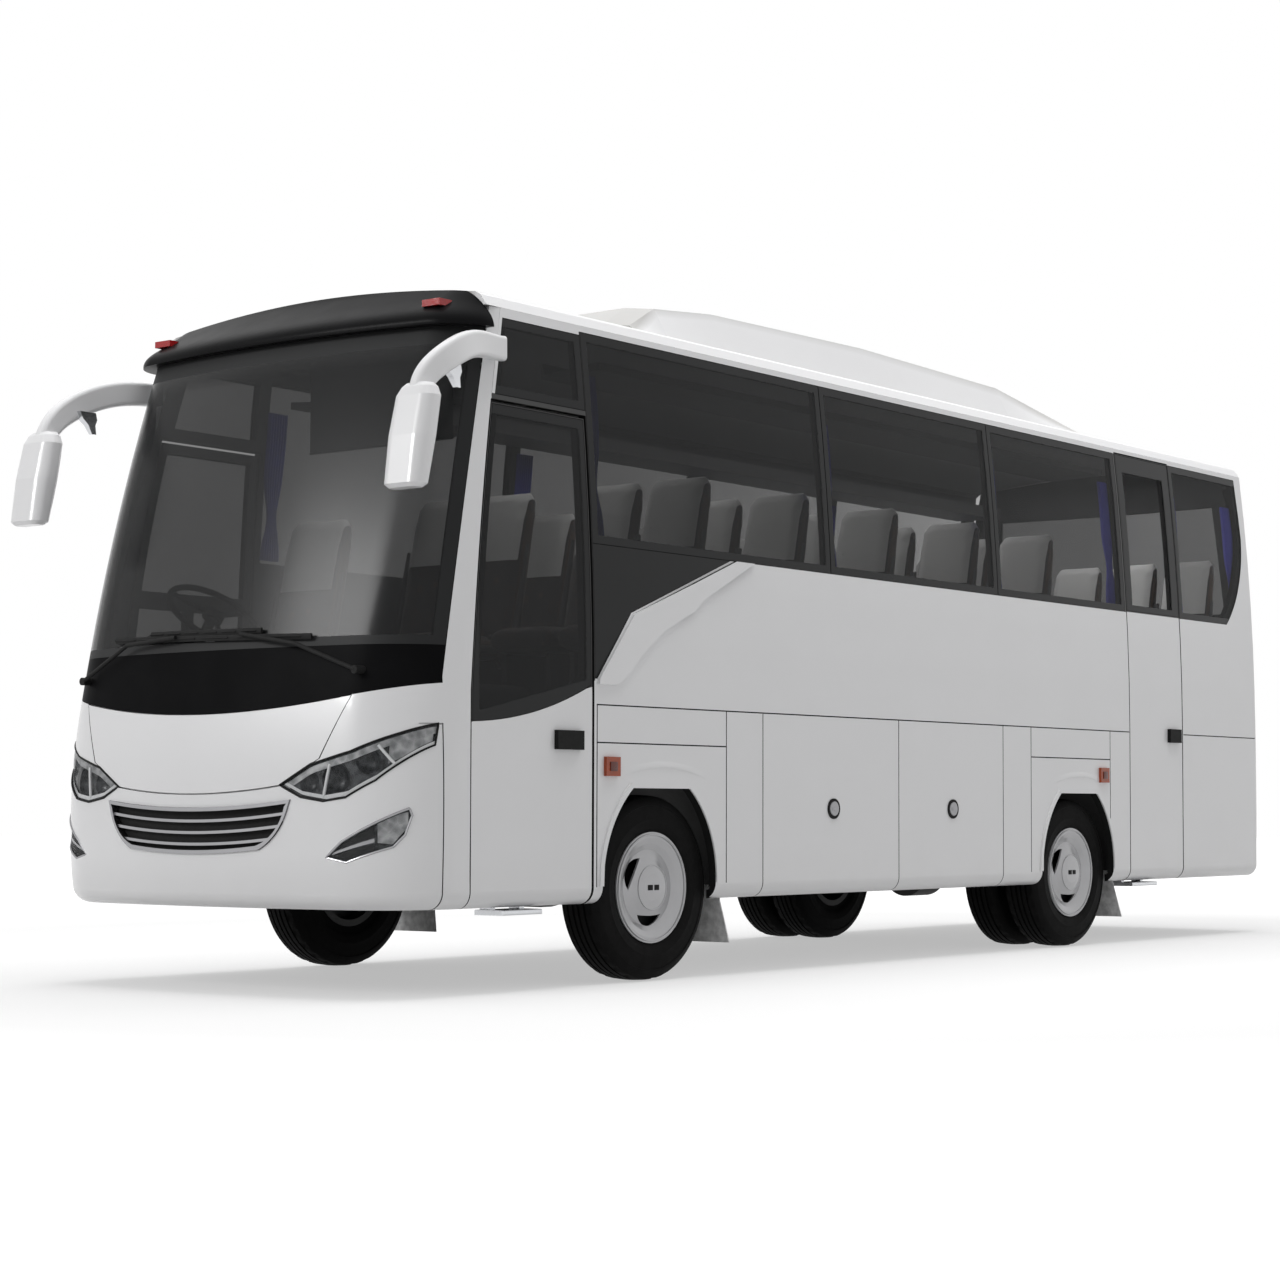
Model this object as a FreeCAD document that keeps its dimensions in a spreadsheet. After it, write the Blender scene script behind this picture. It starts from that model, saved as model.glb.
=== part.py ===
"""Coach bus of about eight metres, as separate pieces.

Millimetres. X points to the bus's left, Y rearward, Z up. Everything is modelled with Y counted from the
front axle and with the ground at Z 0; each piece's Placement then moves it so that the origin is on the ground
in the middle of the bus's length.
"""
import FreeCAD, Part
import math
import os
import types

import Sketcher

V = FreeCAD.Vector
doc = FreeCAD.newDocument("CoachBus")
sheet = doc.addObject("Spreadsheet::Sheet", "Sizes")


class Size:
    """A length that holds its value and the sheet expression that gives it."""

    def __init__(self, value, text):
        self.value = float(value)
        self.text = text

    def __float__(self):
        return self.value

    def __add__(self, other):
        other = as_size(other)
        return Size(self.value + other.value, f"({self.text} + {other.text})")

    def __radd__(self, other):
        return as_size(other) + self

    def __sub__(self, other):
        other = as_size(other)
        return Size(self.value - other.value, f"({self.text} - {other.text})")

    def __rsub__(self, other):
        return as_size(other) - self

    def __mul__(self, factor):
        return Size(self.value * factor, f"({self.text} * {factor})")

    __rmul__ = __mul__

    def __truediv__(self, factor):
        return self * (1.0 / factor)

    def __neg__(self):
        return Size(-self.value, f"(0 - {self.text})")


def as_size(value):
    return value if isinstance(value, Size) else Size(value, f"({value})")


# Driving dimensions, each written once
SIZES = {
    # whole vehicle
    "overall_length": 8000, "body_width": 2200, "front_overhang": 1770, "wheelbase": 3750,
    "roof_height": 3005, "gutter_height": 2880, "skirt_height": 355,
    # body section
    "tumble_start": 1250, "tumble_radius": 13500, "skirt_radius": 70, "wall": 40, "roof_skin": 35,
    "gutter_lean": 36, "gutter_band": 48, "roof_edge_drop": 61, "roof_edge_inset": 30,
    # clearances
    "fit": 0.3, "panel_gap": 6, "door_gap": 8, "door_rear_gap": 14, "groove_depth": 5,
    # front face
    "front_crown": 4900, "front_corner": 400, "front_corner_top": 250, "nose_height": 720,
    "screen_foot": 1270, "seam_height": 1430, "screen_top": 2780, "cowl_low": 1160,
    # rear face
    "rear_crown": 6000, "rear_corner": 200, "rear_seam": 5997, "tail_height": 900,
    "roof_rear_run": 220, "roof_rear_rise": 160,
    # service hatch
    "hatch_skin": 14, "lid_skin": 25, "grille_proud": 8,
    # glass
    "glass": 7, "glass_edge_gap": 3, "glass_lap": 32,
    "belt_height": 1920, "window_top": 2850,
    # front door, its edges in Y
    "door_front": -1250, "door_rear": -470, "door_top": 2470, "door_lean_top": -1077,
    "door_frame": 40, "door_glass_front": 1125, "door_glass_rear": 1301,
    # rear door
    "rear_door_front": 4349, "rear_door_rear": 5012,
    # windows
    "pane_end_1": 1344, "pane_end_2": 2915, "rear_pane_end": 5930,
    # side panels
    "panel_line": 1217, "flap_front": 759, "flap_middle": 1916, "flap_rear": 2931,
    # floor and interior
    "floor_height": 1150, "cab_floor_height": 950, "floor_plate": 30, "floor_half": 1048,
    "floor_step": -400, "step_run": 165, "rear_step_run": 150, "step_low": 447,
    # running gear
    "tyre_radius": 415, "tyre_width": 215, "rim_radius": 203, "wheel_centre": 942, "twin_pitch": 262,
    "spindle_radius": 30, "kingpin_offset": 790, "kingpin_radius": 14, "running_fit": 0.08,
    "arch_radius": 530, "arch_liner": 8,
    # chassis
    "rail_outer": 415, "rail_flange": 65, "rail_web": 7, "rail_bottom": 580, "rail_top": 760,
    "rail_front": -1500, "rail_rear": 5900, "bearer_width": 60,
    # seats
    "seat_pitch": 800, "seat_first": 500, "seat_width": 405, "seat_height": 450, "seat_back_top": 1200,
    "driver_line": -640, "bench_pitch": 398,
}

for row, (name, number) in enumerate(SIZES.items(), start=1):
    sheet.set(f"A{row}", name)
    sheet.set(f"B{row}", str(number))
    sheet.setAlias(f"B{row}", name)
doc.recompute()
s = types.SimpleNamespace(**{name: Size(number, f"Sizes.{name}") for name, number in SIZES.items()})
axle_shift = s.front_overhang - s.overall_length / 2
n = types.SimpleNamespace(**{name: float(number) for name, number in SIZES.items()})
half = n.body_width / 2

pieces = {}


def keep(label, piece, base=(0, 0, 0)):
    """Names a finished piece and moves it from the front axle's frame to the bus's own."""
    piece.Label = label
    x, y, z = (as_size(b) for b in base)
    piece.setExpression("Placement.Base.x", x.text)
    piece.setExpression("Placement.Base.y", (y + axle_shift).text)
    piece.setExpression("Placement.Base.z", z.text)
    pieces[label] = piece
    return piece


def keep_shape(label, shape):
    """A piece whose form only Part's own functions give."""
    piece = doc.addObject("Part::Feature", label)
    piece.Shape = shape
    piece.Placement = FreeCAD.Placement(V(0, float(axle_shift), 0), FreeCAD.Rotation())
    pieces[label] = piece
    return piece


# Parametric building blocks

def box(name, low, high):
    """A block from its low to its high corner."""
    block = doc.addObject("Part::Box", name)
    low = [as_size(c) for c in low]
    high = [as_size(c) for c in high]
    for prop, a, b in zip(("Length", "Width", "Height"), low, high):
        block.setExpression(prop, (b - a).text)
    for axis, a in zip("xyz", low):
        block.setExpression(f"Placement.Base.{axis}", a.text)
    return block


def rod(name, radius, start, length, direction):
    """A cylinder along one axis, from its start."""
    cylinder = doc.addObject("Part::Cylinder", name)
    cylinder.setExpression("Radius", as_size(radius).text)
    cylinder.setExpression("Height", as_size(length).text)
    turns = {"x": FreeCAD.Rotation(V(0, 1, 0), 90), "y": FreeCAD.Rotation(V(1, 0, 0), -90),
             "z": FreeCAD.Rotation()}
    cylinder.Placement.Rotation = turns[direction]
    for axis, a in zip("xyz", start):
        cylinder.setExpression(f"Placement.Base.{axis}", as_size(a).text)
    return cylinder


def joined(name, parts, kind="Part::MultiFuse"):
    whole = doc.addObject(kind, name)
    if kind == "Part::Compound":
        whole.Links = parts
    else:
        whole.Shapes = parts
    return whole


def mirrored(name, source):
    other = doc.addObject("Part::Mirroring", name)
    other.Source = source
    other.Normal = V(1, 0, 0)
    return other


def sketch_on(body, role, offset=0):
    """A sketch on one of the body's own origin planes."""
    sketch = body.newObject("Sketcher::SketchObject", body.Name + "Sketch")
    plane = next(f for f in body.Origin.OriginFeatures if f.Role == role)
    sketch.AttachmentSupport = (plane, [""])
    sketch.MapMode = "FlatFace"
    sketch.setExpression("AttachmentOffset.Base.z", as_size(offset).text)
    return sketch


def outline(sketch, points):
    """A closed outline whose corners are tied to the sheet."""
    points = [(as_size(a), as_size(b)) for a, b in points]
    start = sketch.GeometryCount
    count = len(points)
    for i, (a, b) in enumerate(points):
        c, d = points[(i + 1) % count]
        sketch.addGeometry(Part.LineSegment(V(float(a), float(b), 0), V(float(c), float(d), 0)), False)
    for i in range(count):
        sketch.addConstraint(Sketcher.Constraint("Coincident", start + i, 2, start + (i + 1) % count, 1))
    for i, corner in enumerate(points):
        for kind, value in zip(("DistanceX", "DistanceY"), corner):
            index = sketch.addConstraint(Sketcher.Constraint(kind, start + i, 1, float(value)))
            sketch.setExpression(f"Constraints[{index}]", value.text)


def pad(name, role, points, start, end):
    """A body padded from an outline; the plane's normal is +X, -Y or +Z."""
    body = doc.addObject("PartDesign::Body", name)
    start, end = as_size(start), as_size(end)
    along_y = role == "XZ_Plane"
    sketch = sketch_on(body, role, -start if along_y else start)
    outline(sketch, points)
    feature = body.newObject("PartDesign::Pad", name + "Pad")
    feature.Profile = sketch
    feature.setExpression("Length", (end - start).text)
    feature.Reversed = along_y
    body.Tip = feature
    return body


def revolved(name, outlines):
    """A body turned about the X axis from closed outlines in (x, radius)."""
    body = doc.addObject("PartDesign::Body", name)
    for points in outlines:
        sketch = sketch_on(body, "XZ_Plane")
        outline(sketch, points)
        feature = body.newObject("PartDesign::Revolution", name + "Turn")
        feature.Profile = sketch
        feature.ReferenceAxis = (sketch, ["H_Axis"])
        feature.Angle = 360
        body.Tip = feature
    return body


# Shell geometry that only lofts and curved sections give

def prism(points, low, high, plane):
    """Straight-sided solid; points lie in the plane named, extruded along the third axis."""
    place = {"yz": lambda a, b: V(low, a, b), "xz": lambda a, b: V(a, low, b),
             "xy": lambda a, b: V(a, b, low)}[plane]
    away = {"yz": V(high - low, 0, 0), "xz": V(0, high - low, 0), "xy": V(0, 0, high - low)}[plane]
    corners = [place(a, b) for a, b in points]
    wire = Part.makePolygon(corners + corners[:1])
    return Part.Face(wire).extrude(away)


def curved_prism(segments, low, high, plane):
    """Like prism, but each segment is (point,) for a line to the next or (point, via) for an arc through via."""
    place = {"yz": lambda p: V(low, *p), "xz": lambda p: V(p[0], low, p[1]),
             "xy": lambda p: V(p[0], p[1], low)}[plane]
    away = {"yz": V(high - low, 0, 0), "xz": V(0, high - low, 0), "xy": V(0, 0, high - low)}[plane]
    edges = []
    for i, segment in enumerate(segments):
        start = place(segment[0])
        end = place(segments[(i + 1) % len(segments)][0])
        if len(segment) == 2:
            edges.append(Part.Arc(start, place(segment[1]), end).toShape())
        else:
            edges.append(Part.LineSegment(start, end).toShape())
    return Part.Face(Part.Wire(edges)).extrude(away)


def block(x0, x1, y0, y1, z0, z1):
    return Part.makeBox(x1 - x0, y1 - y0, z1 - z0, V(x0, y0, z0))


def both_sides(shape):
    return [shape, shape.mirror(V(0, 0, 0), V(1, 0, 0))]


def solids_of(shape):
    found = shape.Solids
    return found[0] if len(found) == 1 else Part.makeCompound(found)


def side_x(height, depth=0.0):
    """Half width of the body at a height, less a depth into the wall."""
    rise = max(height - n.tumble_start, 0.0)
    lean = n.tumble_radius - math.sqrt(n.tumble_radius ** 2 - rise ** 2)
    return half - depth - lean


side_breaks = [n.tumble_start + (n.gutter_height - n.tumble_start) * i / 6 for i in range(7)]


def side_line(depth, low, high):
    """Side profile from low to high in the same straight facets for every piece, as (x, z)."""
    def facet_x(height):
        if height <= n.tumble_start:
            return half - depth
        upper = next(i for i, z in enumerate(side_breaks) if z >= height - 1e-6)
        z0, z1 = side_breaks[upper - 1], side_breaks[upper]
        x0, x1 = side_x(z0, depth), side_x(z1, depth)
        return x0 + (x1 - x0) * (height - z0) / (z1 - z0)
    heights = [low] + [z for z in side_breaks if low + 0.5 < z < high - 0.5] + [high]
    return [(facet_x(z), z) for z in heights]


def side_band(depth_out, depth_in, y0, y1, low, high):
    """Part of the left wall between two depths and two heights, above the skirt's rounding."""
    return prism(side_line(depth_out, low, high) + side_line(depth_in, low, high)[::-1], y0, y1, "xz")


def side_shell(y0, y1, high):
    """The left wall with the skirt rolled under at its foot."""
    foot = n.skirt_height
    roll = n.skirt_radius
    turn = foot + roll
    inner = roll - n.wall
    diagonal = math.sqrt(0.5)
    centre = half - roll
    outside = [(point,) for point in side_line(0, turn, high)]
    inside = [(point,) for point in side_line(n.wall, turn, high)[::-1]]
    inside[-1] = (inside[-1][0], (centre + inner * diagonal, turn - inner * diagonal))
    return curved_prism([((centre, foot), (centre + roll * diagonal, turn - roll * diagonal))] + outside + inside
                        + [((centre, turn - inner),)], y0, y1, "xz")


def nose_y(height):
    """Foremost line of the body, on the centre line: a gentle bulge, then the raked windscreen."""
    bulge = 0.00020
    rake = 0.22
    rake_growth = 0.0000300
    if height <= n.screen_foot:
        return n.grille_proud - n.front_overhang + bulge * (height - n.nose_height) ** 2
    rise = height - n.screen_foot
    return nose_y(n.screen_foot) + rake * rise + rake_growth * rise ** 2


def tail_y(height):
    """Rearmost line of the body on the centre line, rounded over at the roof."""
    reach = n.overall_length - n.front_overhang
    lean = 0.0000330
    straight = min(height, n.gutter_height)
    base = reach - lean * (straight - n.tail_height) ** 2 * (1 if straight > n.tail_height else 0.5)
    if height <= n.gutter_height:
        return base
    share = min((height - n.gutter_height) / n.roof_rear_rise, 1.0)
    return base - n.roof_rear_run * (1 - math.sqrt(1 - share ** 2))


def front_corner(height):
    share = min(max((height - n.screen_foot) / (n.screen_top - n.screen_foot), 0.0), 1.0)
    return n.front_corner + (n.front_corner_top - n.front_corner) * share


def plan_wire(height, end_y, width, crown, corner, back_y, sign):
    """Body outline seen from above: crowned end, rounded corners, straight sides back to back_y.

    sign is -1 for the front end and 1 for the rear end.
    """
    axis_x = width - corner
    reach = math.sqrt((crown - corner) ** 2 - axis_x ** 2)
    centre = end_y - sign * crown
    corner_y = centre + sign * reach
    join_x = axis_x * crown / (crown - corner)
    join_y = centre + sign * reach * crown / (crown - corner)
    blend = math.atan2(reach, axis_x) / 2
    mid_x = axis_x + corner * math.cos(blend)
    mid_y = corner_y + sign * corner * math.sin(blend)
    left_back = V(width, back_y, height)
    left_side = V(width, corner_y, height)
    left_join = V(join_x, join_y, height)
    right_join = V(-join_x, join_y, height)
    right_side = V(-width, corner_y, height)
    right_back = V(-width, back_y, height)
    return Part.Wire([
        Part.LineSegment(left_back, left_side).toShape(),
        Part.Arc(left_side, V(mid_x, mid_y, height), left_join).toShape(),
        Part.Arc(left_join, V(0, end_y, height), right_join).toShape(),
        Part.Arc(right_join, V(-mid_x, mid_y, height), right_side).toShape(),
        Part.LineSegment(right_side, right_back).toShape(),
        Part.LineSegment(right_back, left_back).toShape(),
    ])


def end_solid(depth, heights, back_y, sign, foot_roll=None):
    """Solid of the front or rear end at a depth inside the outer skin, lofted through plan outlines."""
    def wire(height, inset=0.0):
        d = depth + inset
        if sign < 0:
            return plan_wire(height, nose_y(height) + d, side_x(height, d), n.front_crown - d,
                             front_corner(height) - d, back_y, sign)
        return plan_wire(height, tail_y(height) - d, side_x(min(height, n.gutter_height), d),
                         n.rear_crown - d, n.rear_corner - d, back_y, sign)

    solid = Part.makeLoft([wire(h) for h in heights], True, False)
    if foot_roll:
        foot = heights[0] - foot_roll
        angles = [math.radians(a) for a in (0, 30, 60, 90)]
        rolled = [wire(foot + foot_roll * (1 - math.cos(a)), foot_roll * (1 - math.sin(a))) for a in angles]
        solid = solid.fuse(Part.makeLoft(rolled, True, False))
    return solid


def roof_section(depth, y0, y1):
    """Everything under the roof's outer surface, less a depth, above the gutter line."""
    low = n.gutter_height - 900
    gutter = side_x(n.gutter_height) + 0.5 - depth
    band = gutter - n.gutter_lean
    edge = band - n.roof_edge_inset
    top = n.roof_height - depth
    band_z = n.gutter_height + n.gutter_band - depth * 0.6
    edge_z = top - n.roof_edge_drop
    return curved_prism([
        ((half + 400, low),),
        ((half + 400, n.gutter_height),),
        ((gutter, n.gutter_height),),
        ((band, band_z),),
        ((edge, edge_z), (0, top)),
        ((-edge, edge_z),),
        ((-band, band_z),),
        ((-gutter, n.gutter_height),),
        ((-half - 400, n.gutter_height),),
        ((-half - 400, low),),
    ], y0, y1, "xz")


front_back = n.door_rear
rear_back = n.rear_seam - 400


def even_heights(low, high, step=245.0):
    """Heights of the sections that an end is lofted through."""
    count = max(1, round((high - low) / step))
    return [low + (high - low) * i / count for i in range(count + 1)]


end_heights = even_heights(n.skirt_height + n.skirt_radius, n.gutter_height)


def front_solid(depth, low=None, high=None):
    if low is None:
        return end_solid(depth, end_heights, front_back, -1, n.skirt_radius - depth)
    return end_solid(depth, even_heights(low, high), front_back, -1)


def foot_opening(back_y, sign):
    """Room between the rolled-in lips of an end's skirt."""
    heights = [n.skirt_height - 20, n.skirt_height + 55]
    return end_solid(n.skirt_radius + 3, heights, back_y - sign * 30, sign)


def above_roof(depth):
    """Everything outside the roof section, from the gutter up."""
    room = block(-half - 300, half + 300, -2400, 6500, n.gutter_height - 50, n.roof_height + 300)
    return room.cut(roof_section(depth, -2500, 6600))


# Side profile lines, in (y, z)

def door_front_line(height):
    """Front edge of the front doors: upright to the belt, then leaning back like the windscreen."""
    knee = n.tumble_start
    if height <= knee:
        return n.door_front
    share = (height - knee) / (n.door_top - knee)
    return n.door_front + (n.door_lean_top - n.door_front) * share * (0.45 + 0.55 * share)


def screen_edge(height):
    """Rear edge of the windscreen, seen from the side."""
    rise = height - n.screen_foot
    return -1398 + 0.1624 * rise + 0.0000389 * rise ** 2


def arc_chain(curve, heights, shift=0.0):
    """Curve as arcs through its own points: heights hold start, via, end, via, end and so on."""
    points = [(curve(h) + shift, h) for h in heights]
    return [(points[i], points[i + 1]) for i in range(0, len(points) - 2, 2)] + [(points[-1],)]


def front_door_zone(gap_front, gap_rear, gap_top, low):
    """Outline of the front door opening, less or plus gaps."""
    chain = arc_chain(door_front_line, [n.tumble_start, 1860, n.door_top - gap_top], gap_front)
    return curved_prism([((n.door_front + gap_front, low),)] + chain
                        + [((n.door_rear - gap_rear, n.door_top - gap_top),), ((n.door_rear - gap_rear, low),)],
                        700, 1300, "yz")


def door_glass_zone(inset, low_inset):
    """Front door's glass: the whole door above a line that rises to the rear."""
    front = inset + 4
    low_front = n.door_glass_front + low_inset
    low_rear = n.door_glass_rear + low_inset
    top = n.door_top - n.door_gap - inset
    rear = n.door_rear - n.door_rear_gap - inset
    mid_y = (n.door_front + n.door_rear) / 2
    mid_z = (low_front + low_rear) / 2 - 38
    chain = arc_chain(door_front_line, [max(low_front, n.tumble_start), 1860, top], front)
    foot = [((n.door_front + front, low_front),)] if low_front < n.tumble_start else []
    return curved_prism(foot + chain + [((rear, top),), ((rear, low_rear), (mid_y, mid_z))],
                        700, 1300, "yz")


# Running gear

def tyre(name):
    """One tyre about its own spin axis."""
    w = s.tyre_width / 2
    r = s.tyre_radius
    bead = s.rim_radius + s.fit
    right = [(w - 24.4, bead), (w - 18, bead + 45), (w, r - 98), (w - 6, r - 50), (w - 20, r - 14), (w - 45, r)]
    left = [(-a, b) for a, b in reversed(right)]
    return revolved(name, [right + left])


def wheel_outlines():
    """Rim, disc, hub and trim of one wheel, outboard along +X."""
    w = s.tyre_width / 2
    r = s.rim_radius
    hub_bore = s.spindle_radius + s.running_fit
    rim = [(-w + 24, r), (w - 24, r), (w - 14, r + 45), (w - 6, r + 45), (w - 6, r + 20), (w - 18, r - 8),
           (w - 22, r - 14), (-w + 14, r - 14), (-w + 14, r + 18), (-w + 19, r + 18)]
    disc = [(-10, 64), (6, 64), (16, r - 14), (0, r - 14)]
    hub = [(-70, hub_bore), (44, hub_bore), (44, 66), (-70, 66)]
    return rim, disc, hub


def wheel(name):
    """Steel wheel with its full trim: a dished cover with two crescent windows and a capped dome."""
    w = s.tyre_width / 2
    r = s.rim_radius
    rim, disc, hub = wheel_outlines()
    cover = [(w - 22, r - 12), (w - 18, r - 8), (w - 34, r - 34), (w - 18, 128), (w - 3, 96), (w + 2, 60),
             (w + 4, 0), (w - 4, 0), (w - 6, 58), (w - 11, 90), (w - 26, 122), (w - 42, r - 36)]
    body = revolved(name, [rim, disc, hub, cover])
    sketch = body.newObject("Sketcher::SketchObject", name + "Windows")
    plane = next(f for f in body.Origin.OriginFeatures if f.Role == "YZ_Plane")
    sketch.AttachmentSupport = (plane, [""])
    sketch.MapMode = "FlatFace"
    sketch.setExpression("AttachmentOffset.Base.z", (w - 46).text)
    for turn in (150, 270):
        crescent(sketch, turn, 118, 172, 34)
    pocket = body.newObject("PartDesign::Pocket", name + "Cut")
    pocket.Profile = sketch
    pocket.setExpression("Length", (s.tyre_width / 4).text)
    pocket.Reversed = True
    body.Tip = pocket
    return body


def crescent(sketch, turn, inner, outer, spread):
    """A lens-shaped window between two arcs, centred at an angle."""
    ends = [math.radians(turn - spread), math.radians(turn + spread)]
    middle = math.radians(turn)
    reach = (inner + outer) / 2
    tips = [V(reach * math.cos(a), reach * math.sin(a), 0) for a in ends]
    for radius in (outer, inner + 8):
        via = V(radius * math.cos(middle), radius * math.sin(middle), 0)
        sketch.addGeometry(Part.Arc(tips[0], via, tips[1]), False)
    last = sketch.GeometryCount - 1
    sketch.addConstraint(Sketcher.Constraint("Coincident", last - 1, 1, last, 1))
    sketch.addConstraint(Sketcher.Constraint("Coincident", last - 1, 2, last, 2))


def running_gear():
    for end, y, twin in (("front", 0, False), ("rear", s.wheelbase, True)):
        for side, turn in (("left", 0), ("right", 180)):
            sign = 1 if side == "left" else -1
            name = f"{end}_{side}"
            rubber = tyre(f"tyre_{name}_one")
            metal = wheel(f"wheel_{name}_one")
            for body in (rubber, metal):
                body.Placement.Rotation = FreeCAD.Rotation(V(0, 0, 1), turn)
                for axis, value in zip("xyz", (s.wheel_centre * sign, as_size(y), s.tyre_radius)):
                    body.setExpression(f"Placement.Base.{axis}", value.text)
            rubbers, metals = [rubber], [metal]
            if twin:
                rubbers.append(inner_twin(tyre(f"tyre_{name}_two"), sign))
                metals.append(inner_twin(inner_wheel(f"wheel_{name}_two"), sign))
            keep(f"tyre_{name}", joined(f"tyre_{name}", rubbers, "Part::Compound"))
            keep(f"wheel_{name}", joined(f"wheel_{name}", metals,
                                         "Part::MultiFuse" if twin else "Part::Compound"))


def inner_twin(body, sign):
    body.Placement.Rotation = FreeCAD.Rotation(V(0, 0, 1), 0 if sign > 0 else 180)
    place = ((s.wheel_centre - s.twin_pitch) * sign, s.wheelbase, s.tyre_radius)
    for axis, value in zip("xyz", place):
        body.setExpression(f"Placement.Base.{axis}", value.text)
    return body


def inner_wheel(name):
    """The inner wheel of a twin pair, with the spacer that bolts it to the outer one."""
    rim, disc, hub = wheel_outlines()
    bore = s.spindle_radius + s.running_fit
    spacer = [(0, bore), (s.twin_pitch - 69, bore), (s.twin_pitch - 69, 66), (0, 66)]
    return revolved(name, [rim, [(a + 60, b) for a, b in disc], spacer])


def kingpin_knuckle(side, sign):
    """Steering knuckle: two lugs about the beam's eye, a pin through it and the wheel spindle."""
    x = s.kingpin_offset
    z = s.tyre_radius
    lug_low = rod(f"knuckle_{side}_lower", 34, (x * sign, 0, z - 90), 34, "z")
    lug_high = rod(f"knuckle_{side}_upper", 34, (x * sign, 0, z + 56), 34, "z")
    pin = rod(f"knuckle_{side}_pin", s.kingpin_radius, (x * sign, 0, z - 60), 120, "z")
    near, far = (x + 20, x + 70) if sign > 0 else (-(x + 70), -(x + 20))
    low_arm = box(f"knuckle_{side}_low_arm", (near, -34, z - 90), (far, 34, z - 56))
    high_arm = box(f"knuckle_{side}_high_arm", (near, -34, z + 56), (far, 34, z + 90))
    near, far = (x + 44, x + 70) if sign > 0 else (-(x + 70), -(x + 44))
    web = box(f"knuckle_{side}_web", (near, -45, z - 90), (far, 45, z + 90))
    length = s.wheel_centre + 30 - (x + 60)
    start = (x + 60) if sign > 0 else -(x + 60) - length
    spindle = rod(f"knuckle_{side}_spindle", s.spindle_radius, (start, 0, z), length, "x")
    parts = [lug_low, lug_high, pin, low_arm, high_arm, web, spindle]
    keep(f"knuckle_{side}", joined(f"knuckle_{side}", parts))


def front_axle():
    """Dropped beam with an eye at each end for the kingpin."""
    z = s.tyre_radius
    x = s.kingpin_offset
    drop = [(-x + 10, z - 45), (-x + 130, z - 45), (-420, z - 100), (420, z - 100), (x - 130, z - 45),
            (x - 10, z - 45), (x - 10, z + 45), (x - 130, z + 35), (430, z - 20), (-430, z - 20),
            (-x + 130, z + 35), (-x + 10, z + 45)]
    beam = pad("axle_beam", "XZ_Plane", drop, -38, 38)
    eyes = []
    holes = []
    for sign in (1, -1):
        eyes.append(rod(f"beam_eye_{'l' if sign > 0 else 'r'}", 34, (x * sign, 0, z - 50), 100, "z"))
        holes.append(rod(f"beam_bore_{'l' if sign > 0 else 'r'}", s.kingpin_radius + s.running_fit,
                         (x * sign, 0, z - 80), 160, "z"))
    pads = []
    for sign in (1, -1):
        mid = s.rail_outer - s.rail_flange / 2
        low, high = (mid - 34, mid + 34) if sign > 0 else (-(mid + 34), -(mid - 34))
        pads.append(box(f"spring_seat_{'l' if sign > 0 else 'r'}", (low, -45, z - 60), (high, 45, z + 45)))
    solid = joined("beam_solid", [beam] + eyes + pads)
    tool = joined("beam_bores", holes)
    drilled = doc.addObject("Part::Cut", "front_axle_beam")
    drilled.Base = solid
    drilled.Tool = tool
    keep("front_axle_beam", drilled)


def rear_axle():
    """Drive axle: banjo, tubes and the stubs that the twin wheels turn on."""
    y = s.wheelbase
    z = s.tyre_radius
    reach = s.wheel_centre - s.twin_pitch - 112
    tube = rod("axle_tube", 58, (-reach, y, z), reach * 2, "x")
    stub_reach = s.wheel_centre + 30
    stub = rod("axle_stub", s.spindle_radius, (-stub_reach, y, z), stub_reach * 2, "x")
    banjo = rod("banjo", 150, (0, y - 110, z), 220, "y")
    nose = rod("pinion_nose", 62, (0, y - 250, z), 200, "y")
    parts = [tube, stub, banjo, nose]
    for sign in (1, -1):
        mid = s.rail_outer - s.rail_flange / 2
        low, high = (mid - 34, mid + 34) if sign > 0 else (-(mid + 34), -(mid - 34))
        parts.append(box(f"rear_seat_{'l' if sign > 0 else 'r'}", (low, y - 55, z + 30), (high, y + 55, z + 70)))
    keep("rear_axle", joined("rear_axle", parts))


def leaf_springs():
    """Four bowed spring packs, each from its axle seat up to the rail."""
    springs = []
    outer = n.rail_outer
    inner = n.rail_outer - n.rail_flange
    top = n.rail_bottom - n.fit
    for y, seat, span, thick in ((0, n.tyre_radius + 45, 560, 42), (n.wheelbase, n.tyre_radius + 70, 640, 52)):
        foot = seat + n.fit
        leaf = curved_prism([((y - span, top), (y, foot + thick)), ((y + span, top),),
                             ((y + span + 10, top - thick), (y, foot)), ((y - span - 10, top - thick),)],
                            inner, outer, "yz")
        flat = block(inner, outer, y - 45, y + 45, foot, foot + thick)
        springs += both_sides(solids_of(leaf.cut(block(inner - 1, outer + 1, y - 44, y + 44, 0, foot)).fuse(flat)))
    keep_shape("leaf_springs", Part.makeCompound(springs))


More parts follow.
